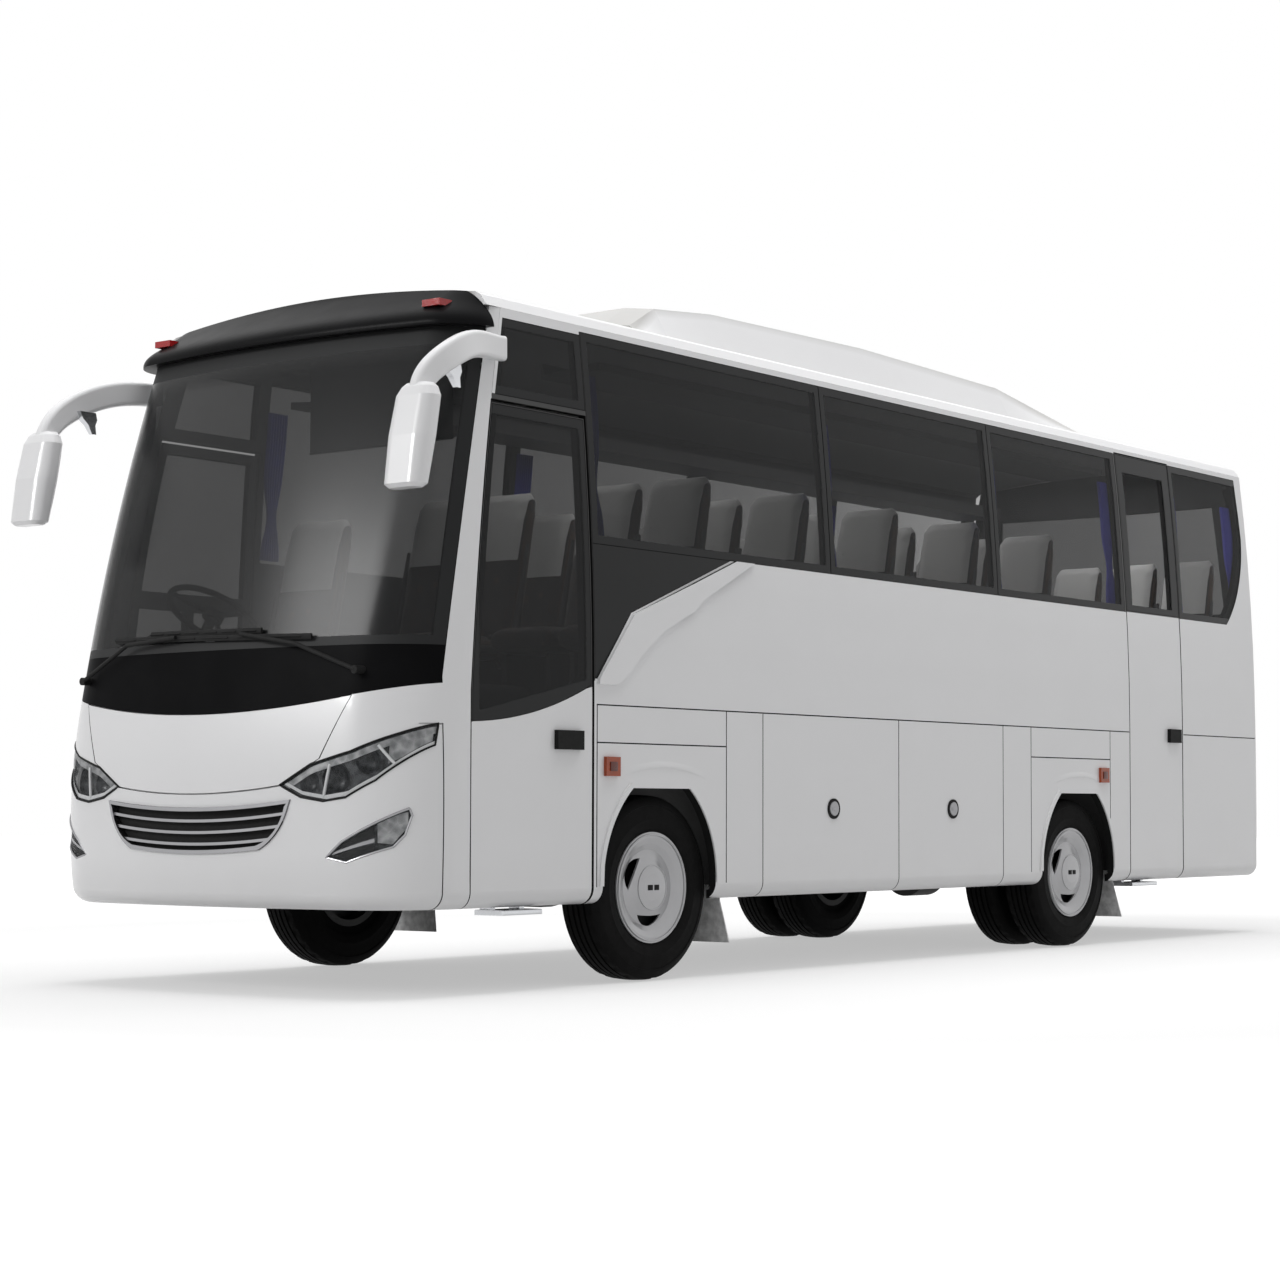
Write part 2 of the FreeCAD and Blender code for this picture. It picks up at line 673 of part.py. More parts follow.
def chassis():
    """Ladder frame: two channel rails, the members bolted between them and the bearers on top."""
    o, f, w = s.rail_outer, s.rail_flange, s.rail_web
    low, top = s.rail_bottom, s.rail_top
    channel = [(o, low), (o, top), (o - f, top), (o - f, top - w), (o - w, top - w), (o - w, low + w),
               (o - f, low + w), (o - f, low)]
    left = pad("rail_left", "XZ_Plane", channel, s.rail_front, s.rail_rear)
    right = mirrored("rail_right", left)
    parts = [left, right]
    web = o - w - s.fit
    for i, y in enumerate((-1440, 900, 1916, 3080, 4400, 5500)):
        parts.append(box(f"cross_member_{i}", (-web, y, low + 10), (web, y + 70, top - 10)))
    parts.append(box("engine_member", (-web, -600, low + w + s.fit), (web, -520, low + 40)))
    reach = s.body_width / 2 - s.wall - s.fit
    cab = s.cab_floor_height - s.floor_plate
    deck = s.floor_height - s.floor_plate
    bearers = [(-1480, 640, cab), (-450, 520, cab)]
    bearers += [(650, reach, deck), (1200, 440, deck), (1890, 440, deck), (2500, 440, deck), (3010, reach, deck),
                (3500, 440, deck), (4285, reach, deck), (5030, 500, deck), (5500, reach, deck), (5840, 440, deck)]
    for i, (y, length, upper) in enumerate(bearers):
        for side in (1, -1):
            inner = o - f
            lo, hi = (inner, as_size(length)) if side > 0 else (-as_size(length), -inner)
            parts.append(box(f"bearer_{i}_{'l' if side > 0 else 'r'}", (lo, y, top + s.fit),
                             (hi, y + s.bearer_width, upper)))
    keep("chassis_frame", joined("chassis_frame", parts, "Part::Compound"))


def powertrain():
    """Engine as one block at its place, with the gearbox behind it."""
    member = s.rail_bottom + 40
    engine = box("engine", (-290, -960, member + s.fit), (290, -160, 1180))
    gearbox = box("gearbox", (-150, -160, 500), (150, 420, 740))
    keep("engine_block", joined("engine_block", [engine, gearbox]))


def propshaft():
    """Shaft from gearbox to rear axle, a little down to the rear."""
    start = V(0, 420 + n.fit, 545)
    end = V(0, n.wheelbase - 250 - n.fit, n.tyre_radius)
    direction = end - start
    shaft = Part.makeCylinder(38, direction.Length, start, direction)
    joints = [Part.makeCylinder(52, 60, start, direction),
              Part.makeCylinder(52, 60, end - direction * (60 / direction.Length), direction)]
    whole = shaft.fuse(joints)
    room = block(-200, 200, start.y, end.y, 200, 900)
    keep_shape("propshaft", solids_of(whole.common(room)))


def exhaust():
    """Pipe along the right rail to a silencer behind the rear axle, and out to the tail."""
    def pipe(points, radius):
        path = []
        bends = 120.0
        last = points[0]
        for before, corner, after in zip(points, points[1:], points[2:]):
            a = (before - corner).normalize()
            b = (after - corner).normalize()
            turn = math.pi - a.getAngle(b)
            back = bends * math.tan(turn / 2)
            centre_way = (a + b).normalize()
            start, end = corner + a * back, corner + b * back
            mid = corner + centre_way * (bends / math.cos(turn / 2) - bends)
            path.append(Part.LineSegment(last, start).toShape())
            path.append(Part.Arc(start, mid, end).toShape())
            last = end
        path.append(Part.LineSegment(last, points[-1]).toShape())
        wire = Part.Wire(path)
        ring = Part.Wire([Part.makeCircle(radius, points[0], points[1] - points[0])])
        return wire.makePipeShell([ring], True, False)
    x = -290.0
    silencer_x = -640.0
    z = 535.0
    front = pipe([V(x, 0, z), V(x, 4470, z), V(silencer_x, 4830, z), V(silencer_x, 5000, z)], 26)
    silencer = Part.makeCylinder(105, 560, V(silencer_x, 4920, z), V(0, 1, 0))
    tail = pipe([V(silencer_x, 5460, z), V(silencer_x, 5750, z), V(silencer_x, 6060, z - 90)], 28)
    bracket = block(-n.rail_outer - 320, -n.rail_outer - n.fit, 5150, 5190, z + 60, z + 130)
    keep_shape("exhaust", solids_of(front.fuse([silencer, tail, bracket])))


def fuel_tank():
    """Tank with rounded corners, strapped to the left rail behind the rear door."""
    inner = n.rail_outer + n.fit
    tank = block(inner, inner + 420, 5110, 5480, 470, 840)
    edges = [e for e in tank.Edges if abs(e.BoundBox.YLength - 370) < 1]
    keep_shape("fuel_tank", tank.makeFillet(45, edges))


def mud_flaps():
    """Rubber flaps hung behind each wheel from the arch liners, wider below the skirt."""
    flaps = []
    hung = n.tyre_radius - n.fit
    skirt = n.skirt_height - 10
    foot = 150
    for y in (n.arch_radius - n.arch_liner, n.wheelbase + n.arch_radius - n.arch_liner):
        outline_points = [(800, hung), (1022, hung), (1022, skirt), (1078, foot), (772, foot)]
        flaps += both_sides(prism(outline_points, y, y + n.arch_liner, "xz"))
    keep_shape("mud_flaps", Part.makeCompound(flaps))


# Floor, steps and luggage tubs

def stair(low, top, run, y0, y1):
    """Folded treads from the door sill up to the floor, closed at both ends; left side."""
    outer = half - n.wall - n.fit
    plate = 20.0
    hung = top - n.floor_plate - n.fit
    count = round((top - low) / 250) + 1
    rise = (top - low) / count
    points = [(outer, low - plate), (outer, low)]
    x = outer
    for i in range(count):
        x -= run
        points.append((x + plate, low + rise * i))
        points.append((x + plate, low + rise * (i + 1)) if i < count - 1 else (x + plate, hung))
    points.append((x, hung))
    for i in reversed(range(count)):
        points.append((x, low + rise * i - plate))
        x += run
        if i:
            points.append((x, low + rise * i - plate))
    flight = prism(points, y0, y1, "xz")
    inner = outer - run * count
    cheeks = [block(inner, outer, y, y + 10, low - plate, hung) for y in (y0 - 10, y1)]
    return solids_of(flight.fuse(cheeks)), inner


def wheel_liner(y, inner):
    """Half-round wheel house over one wheel, left side."""
    outer = half - n.wall - 4
    ring = Part.makeCylinder(n.arch_radius, outer - inner, V(inner, y, n.tyre_radius), V(1, 0, 0))
    hole = Part.makeCylinder(n.arch_radius - n.arch_liner, outer - inner, V(inner, y, n.tyre_radius), V(1, 0, 0))
    keep_part = block(inner - 1, outer + 1, y - 700, y + 700, n.tyre_radius, 1400)
    return ring.cut(hole).common(keep_part)


def floor_pan():
    """Floor plates at two levels, bolted over the stepwells and the wheel houses."""
    t = n.floor_plate
    wide = n.floor_half
    cab = n.cab_floor_height
    deck = n.floor_height
    step = n.floor_step
    cab_edge = step - n.fit
    cab_plate = prism([(-wide, cab_edge), (-wide, -1290), (-690, -1610), (690, -1610), (wide, -1290),
                       (wide, cab_edge)], cab - t, cab, "xy")
    riser = block(-wide, wide, step, step + t, cab - t, deck)
    deck_plate = block(-wide, wide, step, n.rear_seam - 120, deck - t, deck)
    front_well = (n.door_front + 25, n.door_rear - 90)
    rear_well = (n.rear_door_front + 30, n.rear_door_rear - 40)
    flights = []
    cuts = [block(-375, 375, -1090, step + 1, cab - t - 1, cab + 1),
            block(-375, 375, step - 1, -125, cab - t - 1, deck + 1)]
    for (y0, y1), top, run, sides in ((front_well, cab, n.step_run, (0, 1)),
                                      (rear_well, deck, n.rear_step_run, (0,))):
        flight, inner = stair(n.step_low, top, run, y0, y1)
        opening = block(inner, wide + 1, y0, y1, top - t - 1, top + 1)
        for side in sides:
            flights.append(both_sides(flight)[side])
            cuts.append(both_sides(opening)[side])
    houses = []
    for y, inner in ((0, 560), (n.wheelbase, 520)):
        stay = block(600, 640, y - 20, y + 20, n.tyre_radius + n.arch_radius - 4, deck - t - n.fit)
        houses += both_sides(solids_of(wheel_liner(y, inner).fuse(stay)))
    plates = [cab_plate.cut(cuts), riser.fuse(deck_plate).cut(cuts)]
    keep_shape("floor_pan", Part.makeCompound([solids_of(p) for p in plates] + flights + houses))


def luggage_tubs():
    """Boxes behind the luggage doors, open to the side, with a partition between the two doors."""
    t = 12.0
    outer = half - n.wall - n.fit
    inner = n.rail_outer + 30
    top = n.floor_height - n.floor_plate - n.fit
    low = n.skirt_height + n.skirt_radius + n.fit
    front, middle, rear = n.flap_front + 24, n.flap_middle, n.flap_rear - 24
    shell = block(inner, outer, front, rear, low, top)
    hollows = [block(inner + t, outer + 1, a, b, low + t, top - t)
               for a, b in ((front + t, middle - t / 2), (middle + t / 2, rear - t))]
    keep_shape("luggage_tubs", Part.makeCompound(both_sides(shell.cut(hollows))))


# Body shell

def pane_edges():
    """Y limits of each side pane and whether it reaches the rear corner curve."""
    gap = n.glass_edge_gap
    return [(n.door_rear + 6, n.pane_end_1 - gap), (n.pane_end_1 + gap, n.pane_end_2 - gap),
            (n.pane_end_2 + gap, n.rear_door_front - 20), (n.rear_door_rear + 6, n.rear_pane_end)]


def pane_prism(y0, y1, low, high, last, inset):
    """Window outline; the last pane has the curved rear corner."""
    y0, y1, low, high = y0 + inset, y1 - inset, low + inset, high - inset
    if not last:
        return prism([(y0, low), (y1, low), (y1, high), (y0, high)], 700, 1300, "yz")
    foot = y1 - 290
    return curved_prism([((y0, low),), ((foot, low), (y1 - 78, low + 275)), ((y1 - 4, low + 560),),
                         ((y1 - 25, high),), ((y0, high),)], 700, 1300, "yz")


def blade_outline():
    """Raised white blade that sweeps up from the front door to the belt line."""
    return [(-450, 1306), (-448, 1330), (-208, 1621), (560, n.belt_height - 2), (700, n.belt_height - 2),
            (301, 1721), (232, 1665), (0, 1560), (-160, 1440), (-260, 1345), (-330, 1306)]


def quarter_outline(gap):
    """Black panel between the front door, the belt line and the blade."""
    top = n.belt_height - n.glass_edge_gap
    corners = [(n.door_rear + 6, 1332), (-450, 1332), (-214, 1632), (527, top), (n.door_rear + 6, top)]
    return grown(corners, -gap)


def upper_pane_outline(gap):
    """Fixed pane over the front door."""
    low, high = n.door_top + 32 + gap, n.window_top - 15 - gap
    return [(door_front_line(low) + 22 + gap, low), (n.door_rear - 2 - gap, low), (n.door_rear - 2 - gap, high),
            (door_front_line(high) + 22 + gap, high)]


def wheel_arch(y):
    """Side opening over a wheel: flat top, sloping front leg and a bowed rear leg."""
    top = 857
    foot = n.skirt_height - 10
    return curved_prism([((y - 412, foot),), ((y - 405, 520), (y - 330, 720)), ((y - 209, top),),
                         ((y + 196, top), (y + 350, 660)), ((y + 394, 400),), ((y + 394, foot),)],
                        700, 1300, "yz")


def grooves(lines):
    """Panel lines sunk into the outer face of the left wall; each line is (y0, y1, z0, z1)."""
    outer = half + 1
    width = n.panel_gap / 2
    return [block(half - n.groove_depth, outer, y0 - width, y1 + width, z0 - width, z1 + width)
            for y0, y1, z0, z1 in lines]


def side_wall(left):
    """Long fixed wall panel of one side, as seen on the left."""
    foot = n.skirt_height
    gap = n.panel_gap / 2
    front_limit = n.door_rear + 1
    wall = side_shell(front_limit, n.rear_seam, n.gutter_height)
    header = side_band(0, n.wall, n.door_front, front_limit + 1, n.door_top + n.door_gap, n.gutter_height)
    low = n.door_top + n.door_gap
    lean = curved_prism([((-2000, low),)] + arc_chain(door_front_line, [low, 2680, 2890], n.fit)
                        + [((-2000, 2890),)], 700, 1300, "yz")
    whole = wall.fuse(header.cut(lean))
    tools = []
    recess_depth = n.glass + n.fit
    edges = pane_edges()
    if not left:
        edges = edges[:2] + [(n.pane_end_2 + n.glass_edge_gap, 4330), (4336, n.rear_pane_end)]
    for i, (y0, y1) in enumerate(edges):
        last = i == len(edges) - 1
        rebate = pane_prism(y0, y1, n.belt_height, n.window_top, last, -n.glass_edge_gap)
        tools.append(side_band(-2, recess_depth, y0 - 10, y1 + 10, n.belt_height - 10, n.window_top + 10)
                     .common(rebate))
        tools.append(pane_prism(y0, y1, n.belt_height, n.window_top, last, n.glass_lap))
    upper = prism(upper_pane_outline(-n.glass_edge_gap), 700, 1300, "yz")
    tools.append(side_band(-2, recess_depth, n.door_front, n.door_rear + 10, n.door_top, n.window_top + 10)
                 .common(upper))
    tools.append(prism(upper_pane_outline(n.glass_lap), 700, 1300, "yz"))
    quarter = prism(quarter_outline(-n.glass_edge_gap), 700, 1300, "yz")
    tools.append(side_band(-2, recess_depth, n.door_rear, 700, 1300, n.belt_height + 10).common(quarter))
    tools += [wheel_arch(0), wheel_arch(n.wheelbase)]
    tools += [block(half - 100, half - n.wall + 2, y + 370, y + 414, foot - 10, foot + 55)
              for y in (0, n.wheelbase)]
    for y0, y1 in ((n.flap_front, n.flap_middle), (n.flap_middle, n.flap_rear)):
        tools.append(block(half - 200, half + 50, y0 - gap, y1 + gap, foot - 10, n.panel_line + gap))
    if left:
        tools.append(block(700, 1300, n.rear_door_front - n.door_gap / 2, n.rear_door_rear, foot - 10,
                           n.window_top + 10))
    rear_line_start = n.rear_door_rear + 10 if left else 3000
    rear_edge = n.rear_door_front - 10 if left else 5980
    lines = [(-450, n.flap_front, n.panel_line, n.panel_line), (n.flap_rear, rear_edge, n.panel_line, n.panel_line),
             (-450, -450, foot + 75, n.panel_line), (475, 475, foot + 75, n.panel_line),
             (-450, 475, 1053, 1053), (3225, 3225, foot + 75, n.panel_line),
             (4112, 4112, foot + 75, n.panel_line), (3225, 4112, 1053, 1053)]
    if left:
        lines.append((rear_line_start, 5985, n.panel_line, n.panel_line))
    whole = whole.cut(tools + grooves(lines))
    blade = prism(blade_outline(), half - n.wall / 2, half + 16, "yz")
    blade = blade.common(side_band(-16, n.wall / 2, -600, 900, 1290, n.belt_height + 10))
    whole = whole.fuse(blade)
    arches = [arch_lip(0), arch_lip(n.wheelbase)]
    return solids_of(whole.fuse(arches))


def arch_lip(y):
    """Rolled flange that stands out a little round the wheel opening."""
    outer = curved_prism([((y - 434, 430),), ((y - 427, 530), (y - 350, 735)), ((y - 222, 880),),
                          ((y + 208, 880), (y + 370, 672)), ((y + 414, 430),)], half - 12, half + 8, "yz")
    return outer.cut(wheel_arch(y))


def side_walls():
    left = side_wall(True)
    keep_shape("side_wall_left", left)
    right = side_wall(False).mirror(V(0, 0, 0), V(1, 0, 0))
    keep_shape("side_wall_right", right)


def side_glass():
    """All fixed side panes, each a curved sheet on its rebate."""
    sheet_band = side_band(0, n.glass, n.door_front, n.rear_seam, 1300, n.window_top + 10)
    lefts = []
    for i, (y0, y1) in enumerate(pane_edges()):
        lefts.append(sheet_band.common(pane_prism(y0, y1, n.belt_height, n.window_top, i == 3, 0)))
    rights = []
    right_edges = pane_edges()[:2] + [(n.pane_end_2 + n.glass_edge_gap, 4330), (4336, n.rear_pane_end)]
    for i, (y0, y1) in enumerate(right_edges):
        rights.append(sheet_band.common(pane_prism(y0, y1, n.belt_height, n.window_top, i == 3, 0)))
    shared = [sheet_band.common(prism(upper_pane_outline(0), 700, 1300, "yz")),
              sheet_band.common(prism(quarter_outline(0), 700, 1300, "yz"))]
    solids = lefts + shared
    solids += [p.mirror(V(0, 0, 0), V(1, 0, 0)) for p in rights + shared]
    keep_shape("side_glass", Part.makeCompound([piece for p in solids for piece in p.Solids]))


def headlamp_outline(grow):
    """Swept headlamp seen from the front, left side, in (x, z)."""
    points = [(497, 860), (605, 812), (720, 795), (824, 810), (933, 878), (1003, 948), (1074, 1022),
              (1076, 1109), (996, 1069), (833, 995), (649, 944)]
    return grown(points, grow)


def fog_outline(grow):
    points = [(735, 568), (806, 630), (926, 702), (1031, 766), (1037, 738), (1021, 660), (990, 612), (828, 549)]
    return grown(points, grow)


def grown(points, distance):
    """Closed outline pushed outward by a distance, corner by corner."""
    count = len(points)
    area = sum(points[i][0] * points[(i + 1) % count][1] - points[(i + 1) % count][0] * points[i][1]
               for i in range(count))
    turn = 1 if area > 0 else -1
    result = []
    for i in range(count):
        (ax, az), (bx, bz), (cx, cz) = points[i - 1], points[i], points[(i + 1) % count]
        first = math.atan2(bz - az, bx - ax)
        second = math.atan2(cz - bz, cx - bx)
        n1 = (math.sin(first) * turn, -math.cos(first) * turn)
        n2 = (math.sin(second) * turn, -math.cos(second) * turn)
        scale = distance / max(1 + n1[0] * n2[0] + n1[1] * n2[1], 0.4)
        result.append((bx + (n1[0] + n2[0]) * scale, bz + (n1[1] + n2[1]) * scale))
    return result


def grille_zone(grow):
    """Smile-shaped grille opening."""
    return curved_prism([((-556 - grow, 802 + grow), (0, 770 + grow)), ((556 + grow, 802 + grow),),
                         ((545 + grow, 772), (490 + grow, 670)), ((392 + grow, 597 - grow), (0, 577 - grow)),
                         ((-392 - grow, 597 - grow), (-490 - grow, 670)), ((-545 - grow, 772),)],
                        -2000, -1500, "xz")


def hatch_zone(grow):
    """Service hatch between the headlamps, its top on the cowl line."""
    return curved_prism([((-497 - grow, 859 - grow), (0, 826 - grow)), ((497 + grow, 859 - grow),),
                         ((690 + grow, 968),), ((812 + grow, cowl_z(812) + grow), (0, n.cowl_low + grow)),
                         ((-812 - grow, cowl_z(812) + grow),), ((-690 - grow, 968),)],
                        -2000, -1450, "xz")


def cowl_z(x):
    return n.cowl_low + 0.0001 * x * x


def screen_side_zone(gap, low, high):
    """Region ahead of the windscreen's rear edge, from the side."""
    foot = 1300
    chain = arc_chain(screen_edge, [foot, 1700, 2100, 2500, 2900], gap)
    zone = curved_prism([((-2500, 0),), ((screen_edge(foot) + gap, 0),)] + chain + [((-2500, 2900),)],
                        -1400, 1400, "yz")
    return zone.common(block(-1390, 1390, -2490, 0, low, high))


def below_cowl(shift):
    """Everything under the cowl's curved lower edge."""
    wide = 1400
    return curved_prism([((-wide, 0),), ((-wide, cowl_z(wide) + shift), (0, n.cowl_low + shift)),
                         ((wide, cowl_z(wide) + shift),), ((wide, 0),)], -2600, 0, "xz")


def front_shells():
    """Front mask with its pillars, service hatch, cowl panel, windscreen and lamp pieces."""
    outer = front_solid(0)
    inner = front_solid(n.wall)
    shell = outer.cut([inner, foot_opening(front_back, -1)])
    hinge_side = curved_prism([((n.door_front - 2, 0),)]
                              + arc_chain(door_front_line, [n.tumble_start, 1860, n.door_top], -2)
                              + [((0, n.door_top),), ((0, 0),)], -1400, 1400, "yz")
    above = curved_prism([((0, n.door_top + n.door_gap / 2),)]
                         + [((door_front_line(n.door_top + 4) - 2, n.door_top + n.door_gap / 2),)]
                         + arc_chain(door_front_line, [n.door_top + n.door_gap, 2680, 2890], 0)
                         + [((0, 2890),)], -1400, 1400, "yz")
    slot = block(-1400, 1400, n.door_front - 400, 200, n.door_top - 0.1, n.door_top + n.door_gap / 2 + 0.1)
    slot = slot.cut(curved_prism([((-2200, 2400),), ((door_front_line(n.door_top) - 2, 2400),),
                                  ((door_front_line(n.door_top) - 2, 2500),), ((-2200, 2500),)],
                                 -1400, 1400, "yz"))
    shell = shell.cut([hinge_side, above, slot])
    visor_room = block(-1400, 1400, -2000, visor_back(), n.screen_top - n.fit, 3200)
    shell = shell.cut(visor_room)
    screen_zone = screen_side_zone(n.glass_edge_gap, n.cowl_low - 100, 2900).cut(below_cowl(0))
    lip = shell.common(hatch_zone(n.panel_gap)).cut([hatch_zone(-18), outer.cut(front_solid(n.hatch_skin + n.fit))])
    openings = [screen_zone, hatch_zone(n.panel_gap / 2), grille_zone(n.fit)]
    for tool in (prism(headlamp_outline(n.fit), -2000, -1250, "xz"),
                 prism(fog_outline(n.fit), -2000, -1400, "xz")):
        openings += both_sides(tool)
    lip = lip.cut([tool for tool in openings[2:]] + [screen_zone])
    mask = shell.cut(openings).fuse(lip)
    line_y = n.door_front - 150
    line_top = 1105
    line = [block(-half - 1, half + 1, line_y, line_y + n.panel_gap, 0, line_top + n.panel_gap),
            block(-half - 1, half + 1, line_y - 90, line_y, line_top, line_top + n.panel_gap)]
    line_skin = outer.cut(front_solid(n.groove_depth))
    keep_shape("front_mask", solids_of(mask.cut([line_skin.common(run) for run in line])))

    hatch = outer.cut(front_solid(n.hatch_skin)).common(hatch_zone(-n.panel_gap / 2))
    hatch = hatch.common(below_cowl(-n.panel_gap / 2))
    lamp_room = both_sides(prism(headlamp_outline(n.panel_gap), -2000, -1250, "xz"))
    keep_shape("front_hatch", solids_of(hatch.cut(lamp_room)))

    cowl_zone = screen_side_zone(0, n.cowl_low - 100, n.seam_height).cut(below_cowl(n.fit))
    keep_shape("cowl_panel", solids_of(shell.common(cowl_zone)))

    sheet_solid = front_solid(n.glass)
    skin = outer.cut(sheet_solid)
    screen = skin.common(screen_side_zone(0, n.seam_height + n.fit, n.screen_top - n.fit))
    keep_shape("windscreen", solids_of(screen))

    lamp_units(outer, front_solid(12), front_solid(n.wall + 35))
    grille_piece(outer, front_solid(-n.grille_proud), front_solid(n.wall))


def visor_back():
    return -1062.0


def lamp_units(outer, under_lens, deep):
    """Lamp housings with their reflector bowls, and the clear lenses over them."""
    lens_skin = outer.cut(front_solid(4))
    body = under_lens.cut(deep)
    lenses = []
    units = []
    bowls = [(640, 872, 42), (770, 885, 56), (905, 958, 44)]
    reflectors = [Part.makeSphere(r * 1.25, V(x, nose_y(z) + front_setback(x) - 6, z)) for x, z, r in bowls]
    for zone, low in ((headlamp_outline, -1250), (fog_outline, -1400)):
        lenses += both_sides(lens_skin.common(prism(zone(0), -2000, low, "xz")))
        unit = body.common(prism(zone(0), -2000, low, "xz"))
        frame = outer.cut(deep).common(prism(zone(0), -2000, low, "xz"))
        ring = frame.cut([prism(zone(-6), -2000, low, "xz")]).cut(lens_skin)
        if zone is headlamp_outline:
            unit = unit.cut(reflectors)
        else:
            lamp_bowl = Part.makeSphere(44, V(1005, nose_y(680) + front_setback(1005) + 12, 688))
            slots = [prism([(770 + i * 12, 572 + i * 34), (948, 640 + i * 34), (948, 655 + i * 34),
                            (770 + i * 12, 590 + i * 34)], -2000, -1640 + i * 6, "xz") for i in range(2)]
            unit = unit.cut([lamp_bowl] + slots)
        units += both_sides(unit.fuse(ring))
    keep_shape("lamp_lenses", Part.makeCompound([p for s_ in lenses for p in s_.Solids]))
    keep_shape("lamp_units", Part.makeCompound([p for s_ in units for p in s_.Solids]))


def front_setback(x):
    """How far the crowned front lies behind its centre line at x, up to the corners."""
    flat = abs(x)
    start = (half - n.front_corner) * n.front_crown / (n.front_crown - n.front_corner)
    if flat <= start:
        return n.front_crown - math.sqrt(n.front_crown ** 2 - flat ** 2)
    axis_x = half - n.front_corner
    reach = math.sqrt((n.front_crown - n.front_corner) ** 2 - axis_x ** 2)
    corner_y = n.front_crown - reach
    return corner_y - math.sqrt(max(n.front_corner ** 2 - (flat - axis_x) ** 2, 0.0))


def grille_piece(outer, proud, inner):
    """Grille: silver frame with three bars that follow its curve, and a black back plate."""
    plate = proud.cut(inner)
    frame = plate.common(grille_zone(0)).cut(grille_zone(-16))
    bars = []
    for drop in (50, 98, 146):
        bar = curved_prism([((-560, 806 - drop), (0, 770 - drop)), ((560, 806 - drop),),
                            ((560, 794 - drop), (0, 758 - drop)), ((-560, 794 - drop),)], -2000, -1500, "xz")
        bars.append(outer.cut(inner).common(grille_zone(-10)).common(bar))
    deep = front_solid(n.wall - 14)
    back = deep.cut(inner).common(grille_zone(-10))
    keep_shape("grille", solids_of(frame.fuse(bars + [back])))


def visor(depth):
    """Visor over the windscreen, full, at a depth inside its skin."""
    lip = -1348.0
    top = n.screen_top
    shape = [(top, lip, 1046), (top + 45, lip + 14, 1032), (n.gutter_height, lip + 88, 1003),
             (top + 160, lip + 175, 992), (top + 230, lip + 262, 986), (top + 280, lip + 285, 984)]
    wires = [plan_wire(z, y + depth, w - depth, n.front_crown - depth, 215 - depth, visor_back() + 600, -1)
             for z, y, w in shape]
    return Part.makeLoft(wires, True, False)


def roof_and_visor():
    """Roof shell from the visor to the rear cap, and the black visor over the windscreen."""
    sky = block(-1300, 1300, -2500, 8000, n.gutter_height + n.fit, 3400)
    outer = roof_section(0, visor_back() + n.fit, n.rear_seam).common(sky)
    inner = roof_section(n.roof_skin, visor_back() - 10, n.rear_seam + 10)
    keep_shape("roof_shell", solids_of(outer.cut(inner)))

    behind = block(-1400, 1400, visor_back(), 500, 2600, 3400)
    body = visor(0).cut(above_roof(0)).cut(behind)
    hollow = visor(62).cut(above_roof(n.roof_skin))
    keep_shape("roof_visor", solids_of(body.cut(hollow)))


def rear_shells():
    """Rear mask with window and boot openings, boot lid, rear window and lamps."""
    def rear_solid(depth):
        solid = end_solid(depth, end_heights, rear_back, 1, n.skirt_radius - depth)
        rim = [n.gutter_height, n.gutter_height + 40, n.gutter_height + 80, n.gutter_height + 120, 3040]
        return solid.fuse(end_solid(depth, rim, rear_back, 1))

    outer = rear_solid(0).cut(above_roof(0))
    inner = rear_solid(n.wall).cut(above_roof(n.roof_skin))
    ahead = block(-1500, 1500, rear_back - 20, n.rear_seam + n.fit, 0, 3400)
    shell = outer.cut(ahead).cut(inner.cut(ahead)).cut(foot_opening(rear_back, 1))

    window = [(-880, 1990), (880, 1990), (820, 2740), (-820, 2740)]
    lid = [(-640, 760), (640, 760), (700, 1180), (700, 1860), (-700, 1860), (-700, 1180)]
    lamp = [(800, 700), (1020, 720), (1020, 1130), (830, 1150)]
    y0, y1 = 5500, 7000
    skin_inner = rear_solid(n.glass)
    rebate = rear_solid(-5).cut(rear_solid(n.glass + n.fit)).common(prism(grown(window, 3), y0, y1, "xz"))
    openings = [rebate, prism(grown(window, -n.glass_lap), y0, y1, "xz"), prism(grown(lid, 6), y0, y1, "xz")]
    openings += both_sides(prism(grown(lamp, n.fit), y0 + 600, y1, "xz"))
    lid_skin = outer.cut(rear_solid(n.lid_skin))
    lip = shell.cut(outer.cut(rear_solid(n.lid_skin + n.fit))).common(prism(grown(lid, 8), y0, y1, "xz"))
    lip = lip.cut(prism(grown(lid, -20), y0, y1, "xz"))
    keep_shape("rear_mask", solids_of(shell.cut(openings).fuse(lip)))
    keep_shape("boot_lid", solids_of(lid_skin.common(prism(lid, y0, y1, "xz"))))
    keep_shape("rear_window", solids_of(outer.cut(skin_inner).common(prism(window, y0, y1, "xz"))))
    lamps = []
    thick = outer.cut(inner)
    for piece in both_sides(thick.common(prism(lamp, y0 + 600, y1, "xz"))):
        lamps += piece.Solids
    for x in (-837, 837):
        lamps += block(x - 50, x + 50, -1226, -1150, 2868, 2896).cut(visor(-n.fit)).Solids
    keep_shape("red_lamps", Part.makeCompound(lamps))


